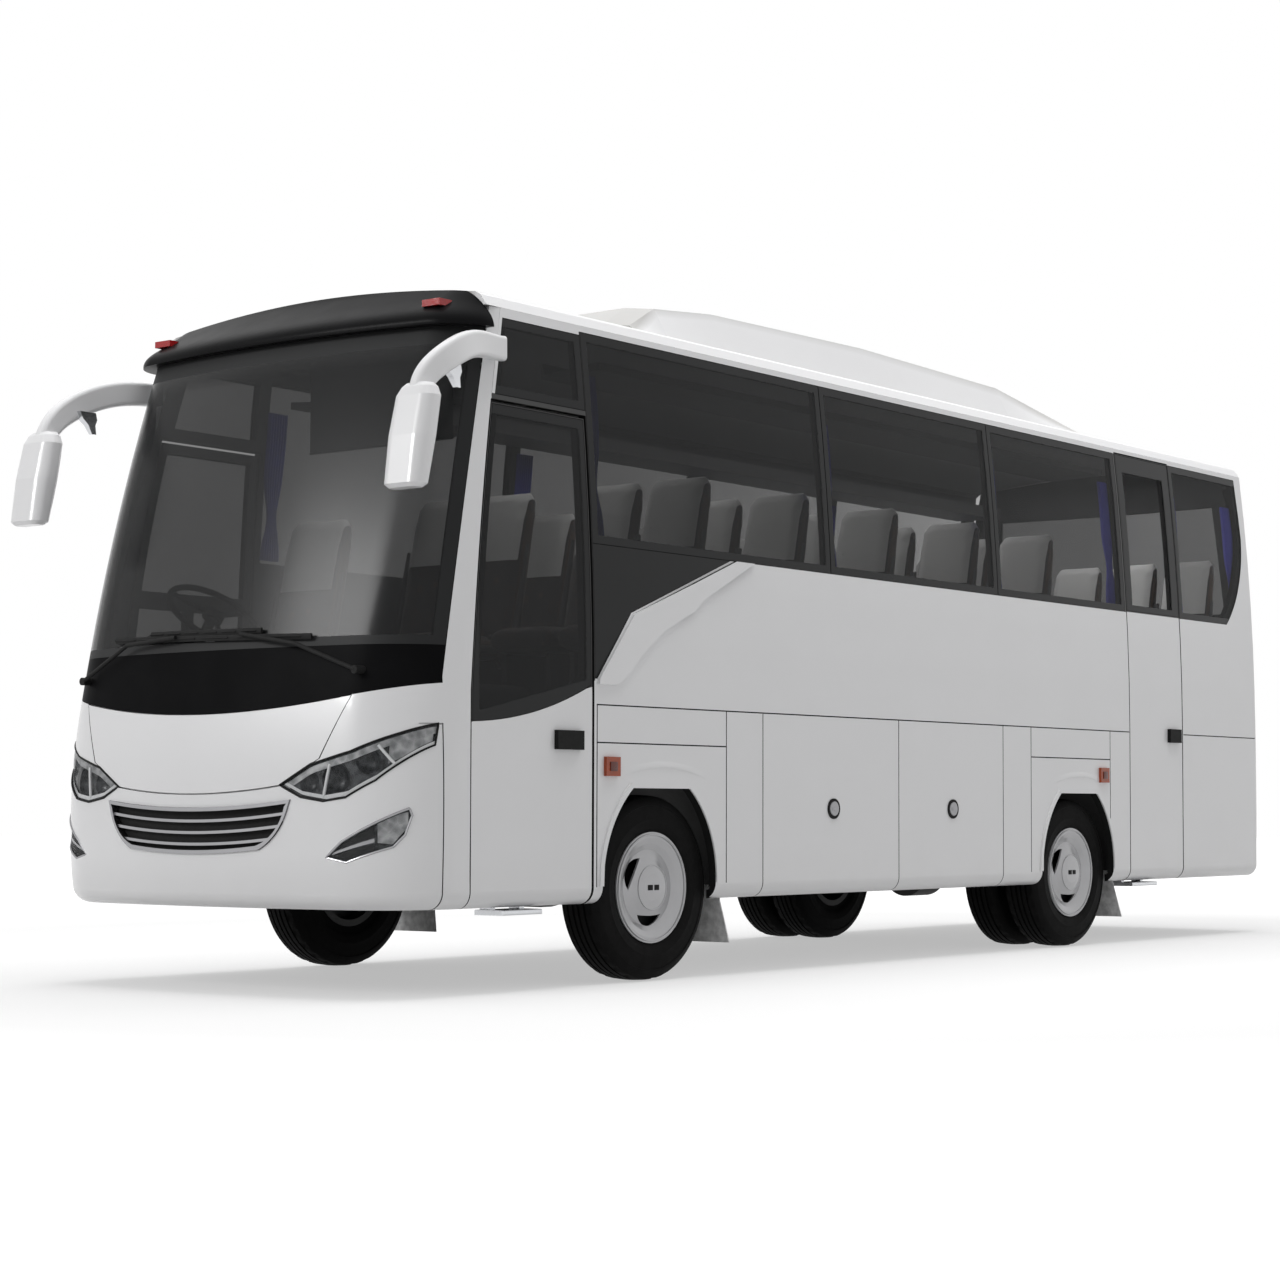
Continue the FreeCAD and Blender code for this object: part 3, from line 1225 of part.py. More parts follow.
def side_doors():
    """Front passenger door, driver's door and rear passenger door, each with its glass."""
    shell = side_shell(n.door_front - 20, n.rear_door_rear + 20, n.gutter_height)
    slice_front = front_door_zone(4, n.door_rear_gap, n.door_gap, 100)
    recess = side_band(-2, n.glass + n.fit, n.door_front, n.door_rear, 1060, n.door_top)
    panel = shell.common(slice_front)
    rebate = recess.common(door_glass_zone(4, -3))
    panel = panel.cut([rebate, door_glass_zone(n.door_frame + 6, 36)])
    glass = side_band(0, n.glass, n.door_front, n.door_rear, 1060, n.door_top).common(door_glass_zone(7, 0))
    handle = block(half - 4, half + 22, -731, -560, 1018, 1100)
    panel = solids_of(panel.fuse(handle))
    keep_shape("front_door", panel)
    keep_shape("front_door_glass", solids_of(glass))
    dividers = [side_band(n.glass + n.fit, n.wall, -1240, -500, 1690, 1770),
                side_band(n.glass + n.fit, n.wall, -880, -835, 1200, 1740)]
    room = slice_front.fuse(block(half, half + 60, -800, -500, 1000, 1150))
    drivers = solids_of(panel.fuse(dividers).common(room))
    keep_shape("driver_door", both_sides(drivers)[1])
    keep_shape("driver_door_glass", both_sides(solids_of(glass))[1])

    y0, y1 = n.rear_door_front + n.door_gap / 2, n.rear_door_rear - n.door_rear_gap + 4
    high = n.window_top + 10 - n.door_gap
    slab = shell.common(block(700, 1300, y0, y1, 100, high))
    glass_low, glass_high = n.belt_height + 6, high - 6
    rebate = side_band(-2, n.glass + n.fit, y0 - 5, y1 + 5, 1800, high).common(
        block(700, 1300, y0 + 4, y1 - 4, glass_low - 3, glass_high + 3))
    hole = block(700, 1300, y0 + 70, y1 - 70, n.belt_height + 40, n.window_top - 100)
    slab = slab.cut([rebate, hole])
    handle = block(half - 4, half + 22, 4815, 4955, 1166, 1246)
    keep_shape("rear_door", solids_of(slab.fuse(handle)))
    pane = side_band(0, n.glass, y0, y1, 1800, high).common(
        block(700, 1300, y0 + 7, y1 - 7, glass_low, glass_high))
    keep_shape("rear_door_glass", solids_of(pane))


def luggage_doors():
    """Two top-hinged doors on each side, each with a round latch."""
    gap = n.panel_gap / 2
    shell = side_shell(n.flap_front - 20, n.flap_rear + 20, n.tumble_start + 100)
    spans = {"front": (n.flap_front, n.flap_middle), "rear": (n.flap_middle, n.flap_rear)}
    for place, (y0, y1) in spans.items():
        flap = shell.common(block(700, 1300, y0 + gap, y1 - gap, 100, n.panel_line - gap))
        latch = Part.makeCylinder(50, 8, V(half - 2, (y0 + y1) / 2, 768), V(1, 0, 0))
        flap = solids_of(flap.fuse(latch))
        for side, shape in zip(("left", "right"), both_sides(flap)):
            keep_shape(f"luggage_door_{place}_{side}", solids_of(shape))


# Outside fittings

def rounded_ring(centre, across, through, wide, deep, corner):
    """Rounded rectangle about a centre, half its width along across and half its depth along through."""
    edges = []
    last = None
    first = None
    for sign_a, sign_b, flip in ((1, 1, False), (-1, 1, True), (-1, -1, False), (1, -1, True)):
        hub = centre + across * (sign_a * (wide - corner)) + through * (sign_b * (deep - corner))
        tips = [hub + across * (sign_a * corner), hub + through * (sign_b * corner)]
        if flip:
            tips.reverse()
        middle = hub + (across * sign_a + through * sign_b) * (corner * math.sqrt(0.5))
        if last:
            edges.append(Part.LineSegment(last, tips[0]).toShape())
        edges.append(Part.Arc(tips[0], middle, tips[1]).toShape())
        first = first or tips[0]
        last = tips[1]
    edges.append(Part.LineSegment(last, first).toShape())
    return Part.Wire(edges)


def mirrors():
    """Broad mirror arms from the roof corners, swept forward and down to elongated heads."""
    path = Part.BSplineCurve()
    path.interpolate([V(1064, -1030, 2690), V(1092, -1180, 2683), V(1132, -1320, 2656), V(1157, -1430, 2608),
                      V(1160, -1530, 2545), V(1160, -1594, 2480), V(1160, -1622, 2420)])
    rings = []
    stations = ((0.0, 24, 53), (0.2, 26, 55), (0.4, 27, 57), (0.6, 28, 57), (0.8, 29, 53), (1.0, 30, 46))
    for share, wide, tall in stations:
        place = path.FirstParameter + (path.LastParameter - path.FirstParameter) * share
        way = path.tangent(place)[0]
        side = (V(1, 0, 0) - way * way.x).normalize()
        rings.append(rounded_ring(path.value(place), side, way.cross(side), wide, tall, wide * 0.7))
    stem = Part.makeLoft(rings, True, False)
    sections = ((2030, -1700, 78, 30), (2046, -1698, 96, 50), (2240, -1664, 103, 58), (2404, -1630, 98, 54),
                (2440, -1622, 80, 44), (2456, -1620, 62, 32))
    head = Part.makeLoft([rounded_ring(V(1160, y, z), V(1, 0, 0), V(0, 1, 0), wide, deep, deep * 0.85)
                          for z, y, wide, deep in sections], True, True)
    boot = Part.makeCylinder(27, 66, V(1006, -1056, 2690), V(1, 0, 0))
    whole = solids_of(stem.fuse([head, boot]).cut(front_solid(-n.fit)))
    keep_shape("mirrors", Part.makeCompound(both_sides(whole)))


def wipers():
    """Two parked wiper arms with their blades, each on its pivot."""
    skin = front_solid(-n.fit)
    pieces_here = []
    for sign, pivot_x, tip_x in ((1, 838, 200), (-1, -838, -200)):
        pivot_z = 1325.0
        skin_y = nose_y(pivot_z) + front_setback(pivot_x)
        post = Part.makeCylinder(17, 60, V(pivot_x, skin_y - 48, pivot_z), V(0, 1, 0))
        post = post.cut(skin)
        elbow = V(sign * 520, nose_y(1440) + front_setback(520) - 40, 1470 if sign < 0 else 1440)
        tip = V(tip_x, nose_y(1490) + front_setback(tip_x) - 36, 1492)
        start = V(pivot_x, skin_y - 40, pivot_z)
        arms = [Part.makeCylinder(9, (b - a).Length, a, b - a) for a, b in ((start, elbow), (elbow, tip))]
        ball = Part.makeSphere(9, elbow)
        pieces_here.append(post.fuse(arms + [ball]))
    keep_shape("wipers", Part.makeCompound([p for w in pieces_here for p in w.Solids]))


def side_markers():
    """Amber marker lamps low on the sides."""
    lamps = []
    for y, z in ((-356, 950), (4027, 962)):
        lamps += both_sides(block(half + n.fit, half + 16, y - 48, y + 48, z - 42, z + 42))
    keep_shape("side_markers", Part.makeCompound(lamps))


def roof_units():
    """Air-conditioning pod, lofted along the roof, and the low hatch behind it."""
    def crown_z(x):
        radius = 7100.0
        return n.roof_height - (radius - math.sqrt(radius ** 2 - x * x))
    rings = []
    for y, wide, top in ((430, 640, 3090), (560, 690, 3185), (1000, 700, 3225), (2300, 700, 3245),
                         (3700, 690, 3215), (4880, 620, 3070)):
        low = 2960.0
        points = [V(-wide, y, low), V(-wide, y, crown_z(wide) + 30), V(-wide * 0.86, y, top - 25),
                  V(-wide * 0.6, y, top), V(wide * 0.6, y, top), V(wide * 0.86, y, top - 25),
                  V(wide, y, crown_z(wide) + 30), V(wide, y, low)]
        rings.append(Part.makePolygon(points + points[:1]))
    pod = Part.makeLoft(rings, True, True)
    under = roof_section(-n.fit, 300, 6500)
    keep_shape("roof_ac_unit", solids_of(pod.cut(under)))
    hatch = block(-360, 360, 5330, 5920, 2980, 3062)
    hatch = hatch.makeChamfer(18, [e for e in hatch.Edges if e.BoundBox.ZMin > 3061])
    keep_shape("roof_hatch", solids_of(hatch.cut(under)))


# Inside

def seat_rows():
    """Y of the front face of each row's head, and which sides it has seats on."""
    rows = [(n.seat_first + n.seat_pitch * i, (1, -1)) for i in range(5)]
    rows.append((n.seat_first + n.seat_pitch * 5, (-1,)))
    return rows


def seat_places():
    """Centre, back and width of every passenger seat."""
    width = n.seat_width
    pitch = width + 8
    inner = 140 + width / 2
    places = [(side * (inner + pitch * k), y, width) for y, sides in seat_rows() for side in sides for k in range(2)]
    places += [(n.bench_pitch * k, 5640, n.bench_pitch - 8) for k in range(-2, 3)]
    return places


def one_seat(x, y, width, floor):
    """Cushion and raked back of one seat; its head's front face is at y."""
    low = floor + n.seat_height - 120
    high = floor + n.seat_height
    top = floor + n.seat_back_top
    profile = [(y - 620, low), (y - 20, low), (y + 130, top), (y + 20, top), (y - 138, high - 8), (y - 640, high)]
    return prism(profile, x - width / 2, x + width / 2, "yz")


def seats():
    """Every seat, and the legs they stand on."""
    soft = []
    legs = []
    places = [(x, y, width, n.floor_height) for x, y, width in seat_places()]
    places.append((n.driver_line, -480.0, n.seat_width + 30, n.cab_floor_height))
    for x, y, width, floor in places:
        soft.append(one_seat(x, y, width, floor))
        low = floor + n.seat_height - 120
        for offset in (-150, 120):
            legs.append(block(x + offset, x + offset + 30, y - 560, y - 180, floor + n.fit, low - n.fit))
    keep_shape("seats", Part.makeCompound(soft))
    keep_shape("seat_legs", Part.makeCompound(legs))


def dashboard(grow):
    """Dashboard across the cab with the driver's binnacle on it."""
    floor = n.cab_floor_height + n.fit
    profile = [(-1540, floor), (-1540, 1395), (-1440, 1425), (-1230, 1390), (-1200, 1230), (-1290, 1100),
               (-1290, floor)]
    dash = prism(grown(profile, grow), -800 - grow, 800 + grow, "yz")
    x = n.driver_line
    binnacle = curved_prism([((x - 155 - grow, 1380),), ((x - 145 - grow, 1440), (x, 1540 + grow)),
                             ((x + 145 + grow, 1440),), ((x + 155 + grow, 1380),)], -1420, -1225 + grow, "xz")
    return dash.fuse(binnacle)


def cab_trim():
    """Dashboard with its binnacle and the engine cover beside the driver."""
    dash = dashboard(0)
    x = 410.0
    cover = block(-x, x, -1180, -90, n.cab_floor_height + n.fit, 1330)
    cover = cover.makeFillet(45, [e for e in cover.Edges if e.BoundBox.ZMin > 1329])
    hollow = block(-x + 22, x - 22, -1158, -112, n.cab_floor_height - 5, 1306)
    cover = cover.cut([hollow, block(-x - 5, x + 5, n.floor_step - n.fit, 0, 900, n.floor_height + n.fit)])
    keep_shape("cab_trim", Part.makeCompound(dash.Solids + cover.Solids))


def steering_wheel():
    """Wheel on its column, tilted toward the driver."""
    centre = V(n.driver_line, -1080, 1640)
    way = V(0, 0.55, 0.84)
    ring = Part.makeTorus(215, 14, centre, way)
    hub = Part.makeCylinder(48, 34, centre - way * 20, way)
    spokes = []
    for angle in (0, 120, 240):
        turn = FreeCAD.Rotation(way, angle)
        direction = turn.multVec(V(1, 0, 0))
        spokes.append(Part.makeCylinder(11, 215, centre, direction))
    foot = centre - way * 330
    column = Part.makeCylinder(24, 330, foot, way)
    whole = ring.fuse([hub, column] + spokes)
    keep_shape("steering_wheel", solids_of(whole.cut(dashboard(n.fit))))


def curtains():
    """Narrow curtains tied at the window pillars, as plain soft solids."""
    solids = []
    depth = n.wall + n.fit
    door_pillar = 5032
    for y in (-446, 1346, 2917, 4215, door_pillar, 5790):
        cloth = side_band(depth, depth + 28, y, y + 120, 1960, 2680)
        solids += both_sides(cloth)[:1] if y == door_pillar else both_sides(cloth)
    keep_shape("curtains", Part.makeCompound(solids))


def luggage_racks():
    """Overhead shelves along both sides."""
    high = 2745
    outer = side_line(n.wall, n.belt_height, high)[-1][0] - n.fit
    racks = []
    for side, end in ((0, 4250), (1, 5780)):
        section = [(outer, high - 35), (outer, high), (660, high - 25), (645, high + 25), (630, high + 25),
                   (642, high - 45)]
        racks.append(both_sides(prism(section, -300, end, "xz"))[side])
    keep_shape("luggage_racks", Part.makeCompound([p for r in racks for p in r.Solids]))


def sun_blind():
    """Roller blind drawn down behind the left of the windscreen."""
    y = visor_back() + 12
    blind = block(-60, 800, y, y + 8, 2330, n.roof_height)
    keep_shape("sun_blind", solids_of(blind.cut(above_roof(n.roof_skin + n.fit))))


def door_steps():
    """Low fold-out steps under the two passenger doors, hung from the lowest treads."""
    steps = []
    tread = n.step_low - 20 - n.fit
    for y0, y1 in ((-1038, -787), (4400, 4700)):
        plate = block(930, half - 12, y0, y1, 322, 344)
        plate = plate.makeFillet(8, [e for e in plate.Edges if e.BoundBox.XMin > half - 14])
        hangers = [block(940, 1000, y, y + 30, 343, tread) for y in (y0 + 20, y1 - 50)]
        steps.append(plate.fuse(hangers))
    keep_shape("door_steps", Part.makeCompound([p for piece in steps for p in piece.Solids]))


def write_pieces():
    doc.recompute()
    for thing in doc.Objects:
        if {"Invalid", "Error"} & set(thing.State):
            raise SystemExit(f"{thing.Label} failed: {thing.State}")
    os.makedirs("parts", exist_ok=True)
    for label, piece in pieces.items():
        shape = piece.Shape
        if shape.isNull() or not shape.isValid():
            raise SystemExit(f"{label} has no valid shape")
        shape.exportStep(f"parts/{label}.step")
        print(f"{label:28s} solids {len(shape.Solids):3d} faces {len(shape.Faces):4d} "
              f"volume {shape.Volume / 1e6:9.2f} l")


running_gear()
for side_name, side_sign in (("left", 1), ("right", -1)):
    kingpin_knuckle(side_name, side_sign)
front_axle()
rear_axle()
leaf_springs()
chassis()
powertrain()
propshaft()
exhaust()
fuel_tank()
mud_flaps()
floor_pan()
luggage_tubs()
side_walls()
side_glass()
front_shells()
roof_and_visor()
rear_shells()
side_doors()
luggage_doors()
mirrors()
wipers()
side_markers()
roof_units()
seats()
cab_trim()
steering_wheel()
curtains()
luggage_racks()
sun_blind()
door_steps()
write_pieces()
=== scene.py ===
"""Looks of the coach bus: materials, soft parts, tyre tread, lamps, trim, light and camera.

Metres, in the same frame as the solids. Heights and widths are read off the solids; lengths along the bus are
written from the front axle and turned into the frame's Y by at().
"""

import math
from functools import partialmethod

import bmesh
import bpy
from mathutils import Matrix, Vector
from mathutils.bvhtree import BVHTree

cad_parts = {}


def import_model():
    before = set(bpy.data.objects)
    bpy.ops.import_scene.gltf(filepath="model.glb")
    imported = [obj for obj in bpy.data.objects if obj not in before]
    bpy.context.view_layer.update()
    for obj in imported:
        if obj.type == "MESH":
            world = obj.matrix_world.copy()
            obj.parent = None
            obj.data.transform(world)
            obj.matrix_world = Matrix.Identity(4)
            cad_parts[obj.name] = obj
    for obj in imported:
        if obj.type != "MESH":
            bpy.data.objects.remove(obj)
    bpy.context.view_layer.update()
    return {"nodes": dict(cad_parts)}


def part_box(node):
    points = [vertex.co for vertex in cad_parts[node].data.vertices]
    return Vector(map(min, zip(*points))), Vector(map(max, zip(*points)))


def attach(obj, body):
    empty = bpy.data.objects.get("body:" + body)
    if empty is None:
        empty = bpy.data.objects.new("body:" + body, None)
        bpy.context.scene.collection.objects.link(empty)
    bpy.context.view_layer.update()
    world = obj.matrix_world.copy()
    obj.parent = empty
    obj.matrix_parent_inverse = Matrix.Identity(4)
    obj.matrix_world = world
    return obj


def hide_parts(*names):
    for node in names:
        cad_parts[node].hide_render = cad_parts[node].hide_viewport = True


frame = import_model()
nodes = frame["nodes"]
scene = bpy.context.scene

AXLE = -2.23
HALF = 1.1
TUMBLE_START = 1.25
TUMBLE_RADIUS = 13.5
GUTTER = 2.88
WALL = 0.04
TYRE_RADIUS = 0.415
WHEELBASE = 3.75
SILL_CURVE = 0.435
OUTER_WHEEL_X = 0.942
INNER_WHEEL_X = 0.680
SEAT_WIDTH = 0.405
COVER_WIDTH = 0.316
BODY = "coach_body"
SIDES = (("left", 1), ("right", -1))
WHEELS = [(f"{end}_{side}", y, sign)
          for end, y in (("front", 0.0), ("rear", WHEELBASE)) for side, sign in SIDES]
ACROSS = Vector((1, 0, 0))
ALONG = Vector((0, 1, 0))
UP = Vector((0, 0, 1))


def at(x, y, z):
    """A point with its length counted from the front axle."""
    return Vector((x, y + AXLE, z))


def side_x(z):
    """Half width of the bus at a height."""
    rise = max(min(z, GUTTER) - TUMBLE_START, 0.0)
    return HALF - (TUMBLE_RADIUS - math.sqrt(TUMBLE_RADIUS ** 2 - rise ** 2))


def nose_y(z):
    """Foremost line of the bus on its centre line, from the front axle."""
    foot = 1.27
    if z <= foot:
        return -1.762 + 0.2 * (z - 0.72) ** 2
    return nose_y(foot) + 0.22 * (z - foot) + 0.03 * (z - foot) ** 2


def front_setback(x):
    """How far the crowned front lies behind its centre line."""
    crown, corner = 4.9, 0.4
    flat = abs(x)
    start = (HALF - corner) * crown / (crown - corner)
    if flat <= start:
        return crown - math.sqrt(crown ** 2 - flat ** 2)
    axis = HALF - corner
    reach = math.sqrt((crown - corner) ** 2 - axis ** 2)
    return crown - reach - math.sqrt(max(corner ** 2 - (flat - axis) ** 2, 0.0))


def front_y(x, z, out=0.0):
    """Y of the front skin, a distance outside it."""
    return nose_y(z) + front_setback(x) - out


# Materials

class Wiring:
    """Short words for building a node tree."""

    def __init__(self, tree):
        self.tree = tree

    def feed(self, socket, value):
        """Links a socket to another one or sets its value."""
        if isinstance(value, bpy.types.NodeSocket):
            self.tree.links.new(value, socket)
        else:
            socket.default_value = value

    def node(self, kind, **sockets):
        made = self.tree.nodes.new(kind)
        for name, value in sockets.items():
            self.feed(made.inputs[name.replace("_", " ")], value)
        return made

    def spaced(self, kind, **sockets):
        """A node fed with the solid's own coordinates."""
        return self.node(kind, Vector=self.node("ShaderNodeTexCoord").outputs["Object"], **sockets)

    def calculate(self, operation, a, b=0.0):
        made = self.node("ShaderNodeMath")
        made.operation = operation
        self.feed(made.inputs[0], a)
        self.feed(made.inputs[1], b)
        return made.outputs["Value"]

    times = partialmethod(calculate, "MULTIPLY")
    plus = partialmethod(calculate, "ADD")
    minus = partialmethod(calculate, "SUBTRACT")
    above = partialmethod(calculate, "GREATER_THAN")
    below = partialmethod(calculate, "LESS_THAN")
    larger = partialmethod(calculate, "MAXIMUM")
    absolute = partialmethod(calculate, "ABSOLUTE")

    def mapped(self, value, start, end, low, high):
        """Maps start to end onto low to high."""
        return self.node("ShaderNodeMapRange", Value=value, From_Min=start, From_Max=end, To_Min=low,
                         To_Max=high).outputs["Result"]

    def seen_directly(self):
        """1 for camera, glossy and transmission rays."""
        ray = self.node("ShaderNodeLightPath").outputs
        outside = self.larger(ray["Is Camera Ray"], ray["Is Glossy Ray"])
        return self.larger(outside, ray["Is Transmission Ray"])


class Shader(Wiring):
    """Node tree of one material, with its principled shader."""

    def __init__(self, name, color, roughness, metallic=0.0):
        self.material = bpy.data.materials.new(name)
        self.material.use_nodes = True
        super().__init__(self.material.node_tree)
        self.bsdf = self.tree.nodes["Principled BSDF"]
        self.set("Base Color", (*color, 1.0))
        self.set("Roughness", roughness)
        self.set("Metallic", metallic)

    def set(self, socket, value):
        self.feed(self.bsdf.inputs[socket], value)

    def source(self, socket):
        return self.bsdf.inputs[socket].links[0].from_socket

    def axis(self, name):
        return self.spaced("ShaderNodeSeparateXYZ").outputs[name]

    def noise(self, scale, detail=3.0):
        return self.spaced("ShaderNodeTexNoise", Scale=scale, Detail=detail).outputs["Fac"]

    def cells(self, scale):
        return self.spaced("ShaderNodeTexVoronoi", Scale=scale).outputs["Distance"]

    def wave(self, scale, direction):
        texture = self.spaced("ShaderNodeTexWave", Scale=scale)
        texture.bands_direction = direction
        return texture.outputs["Fac"]

    def ramp(self, factor, stops):
        ramp = self.node("ShaderNodeValToRGB", Fac=factor)
        for element, (position, color) in zip(ramp.color_ramp.elements, stops):
            element.position = position
            element.color = (*color, 1.0)
        return ramp.outputs["Color"]

    def mix(self, factor, first, second):
        mixer = self.node("ShaderNodeMix")
        mixer.data_type = "RGBA"
        for socket, value in (("Factor", factor), (6, first), (7, second)):
            self.feed(mixer.inputs[socket], (*value, 1.0) if isinstance(value, tuple) else value)
        return mixer.outputs[2]

    def bump(self, height, strength, distance):
        relief = self.node("ShaderNodeBump", Strength=strength, Distance=distance, Height=height)
        self.set("Normal", relief.outputs["Normal"])


def scaled(color, factor):
    return tuple(c * factor for c in color)


def plain(name, color, roughness, metallic=0.0, spread=0.06, grain=14.0, bump=0.04, bump_scale=260.0,
          rough_spread=0.08, depth=0.0006, coat=0.0, specular=None):
    """Moulded, painted or cast surface: slight colour drift, uneven gloss and a fine grain."""
    s = Shader(name, color, roughness, metallic)
    tones = [(0.3, scaled(color, 1 - spread)), (0.7, scaled(color, 1 + spread))]
    s.set("Base Color", s.ramp(s.noise(grain), tones))
    low = max(roughness - rough_spread, 0.02)
    s.set("Roughness", s.mapped(s.noise(grain * 2.3), 0.0, 1.0, low, roughness + rough_spread))
    s.bump(s.noise(bump_scale, 2.0), bump, depth)
    if coat:
        s.set("Coat Weight", coat)
        s.set("Coat Roughness", 0.06)
    if specular is not None:
        s.set("Specular IOR Level", specular)
    return s


def solid(*values, **named):
    """A plain surface that needs nothing more."""
    return plain(*values, **named).material


def inside_zones(s, zones):
    """1 inside any zone of (y0, y1, z0, z1, rise along y, side or 0), lengths from the front axle."""
    along, height, across = s.axis("Y"), s.axis("Z"), s.axis("X")
    total = 0.0
    for y0, y1, z0, z1, rise, side in zones:
        inside = s.times(s.above(along, y0 + AXLE), s.below(along, y1 + AXLE))
        foot = s.minus(height, s.times(s.minus(along, y0 + AXLE), rise))
        inside = s.times(inside, s.above(foot, z0))
        inside = s.times(inside, s.below(height, z1))
        if side:
            inside = s.times(inside, s.above(s.times(across, side), 0.0))
        total = s.larger(inside, total)
    return total


def seal_and_groove_shade(s):
    """1 behind the outer skin of the flat sides below the windows: the insides of the panel gaps, whose black
    stands for the seals, and of the grooves, whose black is painted shade.
    """
    height, along = s.axis("Z"), s.axis("Y")
    lean = s.larger(s.minus(height, TUMBLE_START), 0.0)
    lean = s.times(s.times(lean, lean), 0.5 / TUMBLE_RADIUS)
    behind = s.below(s.absolute(s.axis("X")), s.minus(HALF - 0.0015, lean))
    behind = s.times(behind, s.above(height, SILL_CURVE))
    behind = s.times(behind, s.below(height, 1.90))
    return s.times(behind, s.above(along, -0.60 + AXLE))


def paint_white(name, black_zones=(), coat=0.35, specular=0.5, shaded_top_half=0.0):
    """Gloss white lacquer with a faint orange peel and road dust low down, black in its zones and behind the
    skin, where the black in the grooves is painted shade.

    A roof piece has painted shade on its flat top, greyer and mottled out to the given half width from the
    middle, so that the top-lit roof does not wash out.
    """
    s = plain(name, (0.80, 0.80, 0.81), 0.34, spread=0.008, grain=2.2, bump=0.03, bump_scale=90.0,
              rough_spread=0.03, depth=0.0004, coat=coat, specular=specular)
    low = s.times(s.larger(s.minus(0.62, s.axis("Z")), 0.0), 0.55)
    dusty = s.times(low, s.noise(5.0, 5.0))
    painted = s.mix(dusty, s.source("Base Color"), (0.50, 0.48, 0.45))
    if shaded_top_half:
        # Painted shade: the flat top of a roof piece is greyed, with a patchy mottle.
        top_shade = s.mapped(s.absolute(s.axis("X")), shaded_top_half + 0.02, shaded_top_half - 0.02, 0.0, 1.0)
        patchy = s.plus(0.82, s.times(s.noise(1.6, 5.0), 0.3))
        painted = s.mix(s.times(top_shade, patchy), painted, (0.52, 0.515, 0.505))
    if black_zones:
        # Black in the zones and behind the skin: seal colour in the gaps, painted shade in the grooves.
        black = s.larger(inside_zones(s, black_zones), seal_and_groove_shade(s))
        painted = s.mix(black, painted, (0.008, 0.008, 0.008))
        s.set("Coat Weight", s.times(s.minus(1.0, black), coat))
    s.set("Base Color", painted)
    return s.material


def tinted_glass(name, color, alpha, roughness=0.03, specular=0.22):
    s = Shader(name, color, roughness)
    s.set("Base Color", s.ramp(s.noise(1.4), [(0.2, scaled(color, 0.8)), (0.8, scaled(color, 1.25))]))
    s.set("Alpha", alpha)
    s.set("Specular IOR Level", specular)
    return s


def banded_glass(name, front_alpha, rear_alpha, zones):
    """Tinted glass, black outside its clear zones and more see-through toward the rear, a painted stand-in
    for the paler reflection there.
    """
    s = tinted_glass(name, GLASS_TINT, 1.0, specular=0.17)
    # Painted reflection: the glass lets more through toward the rear to look paler there.
    reflection_fade = s.mapped(s.axis("Y"), -0.5 + AXLE, 5.6 + AXLE, front_alpha, rear_alpha)
    clear = s.times(inside_zones(s, zones), s.minus(1.0, reflection_fade))
    s.set("Alpha", s.minus(1.0, clear))
    return s.material


def screen_glass():
    """Windscreen: tinted glass with a black band along its edges and a shade band at the top."""
    band_foot, shade_foot, band_top = 1.468, 2.62, 2.70
    s = tinted_glass("glass_windscreen", GLASS_TINT, 0.42, 0.24, 0.20)
    height = s.axis("Z")
    rise = s.minus(height, 1.27)
    edge = s.plus(s.times(rise, 0.1624), s.times(s.times(rise, rise), 0.0389))
    side = s.above(s.axis("Y"), s.plus(edge, -1.450 + AXLE))
    band = s.larger(side, s.larger(s.below(height, band_foot), s.above(height, band_top)))
    s.set("Alpha", s.larger(band, s.mapped(height, shade_foot, band_top, 0.57, 1.0)))
    s.set("Roughness", s.plus(0.24, s.times(band, 0.36)))
    return s.material


def rubber(name, color):
    return solid(name, color, 0.72, spread=0.25, grain=30.0, bump=0.05, bump_scale=300.0, specular=0.2)


def satin_black(name, roughness, specular):
    return solid(name, (0.007, 0.007, 0.0075), roughness, spread=0.15, grain=4.0, bump=0.01, bump_scale=60.0,
                 rough_spread=0.04, specular=specular)


def tyre_rubber():
    """Dull black rubber with a faint mottle of dust all over."""
    s = plain("tyre_black", (0.0045, 0.0045, 0.0046), 0.66, spread=0.3, grain=18.0, bump=0.15,
              bump_scale=320.0, specular=0.06)
    dust = s.times(s.noise(7.0, 6.0), 0.02)
    s.set("Base Color", s.mix(dust, s.source("Base Color"), (0.09, 0.085, 0.08)))
    return s.material


def weave(name, color, second, scale=260.0, sheen=0.35):
    """Flat-woven cloth: crossed yarns with two tones."""
    s = Shader(name, color, 0.86)
    cross = s.times(s.wave(scale, "X"), s.larger(s.wave(scale, "Z"), s.wave(scale, "Y")))
    mottled = s.plus(s.times(cross, 0.6), s.times(s.noise(26.0, 4.0), 0.5))
    s.set("Base Color", s.ramp(mottled, [(0.15, second), (0.85, color)]))
    s.bump(cross, 0.25, 0.0008)
    s.set("Sheen Weight", sheen)
    return s


def woven(*values):
    """A cloth that needs nothing more."""
    return weave(*values).material


def seat_cloth():
    """Dark patterned seat cloth with brown side panels; the pale cover over the head has a linen of its own.
    """
    s = weave("seat_cloth", (0.045, 0.036, 0.034), (0.020, 0.016, 0.017))
    off_ring = s.absolute(s.minus(s.cells(11.0), 0.33))
    rings = s.larger(s.minus(1.0, s.times(off_ring, 22.0)), 0.0)
    ringed = s.mix(s.times(rings, 0.75), s.source("Base Color"), (0.16, 0.085, 0.045))
    side = s.above(s.absolute(s.axis("X")), 0.168)
    s.set("Base Color", s.mix(side, ringed, (0.070, 0.036, 0.018)))
    return s.material


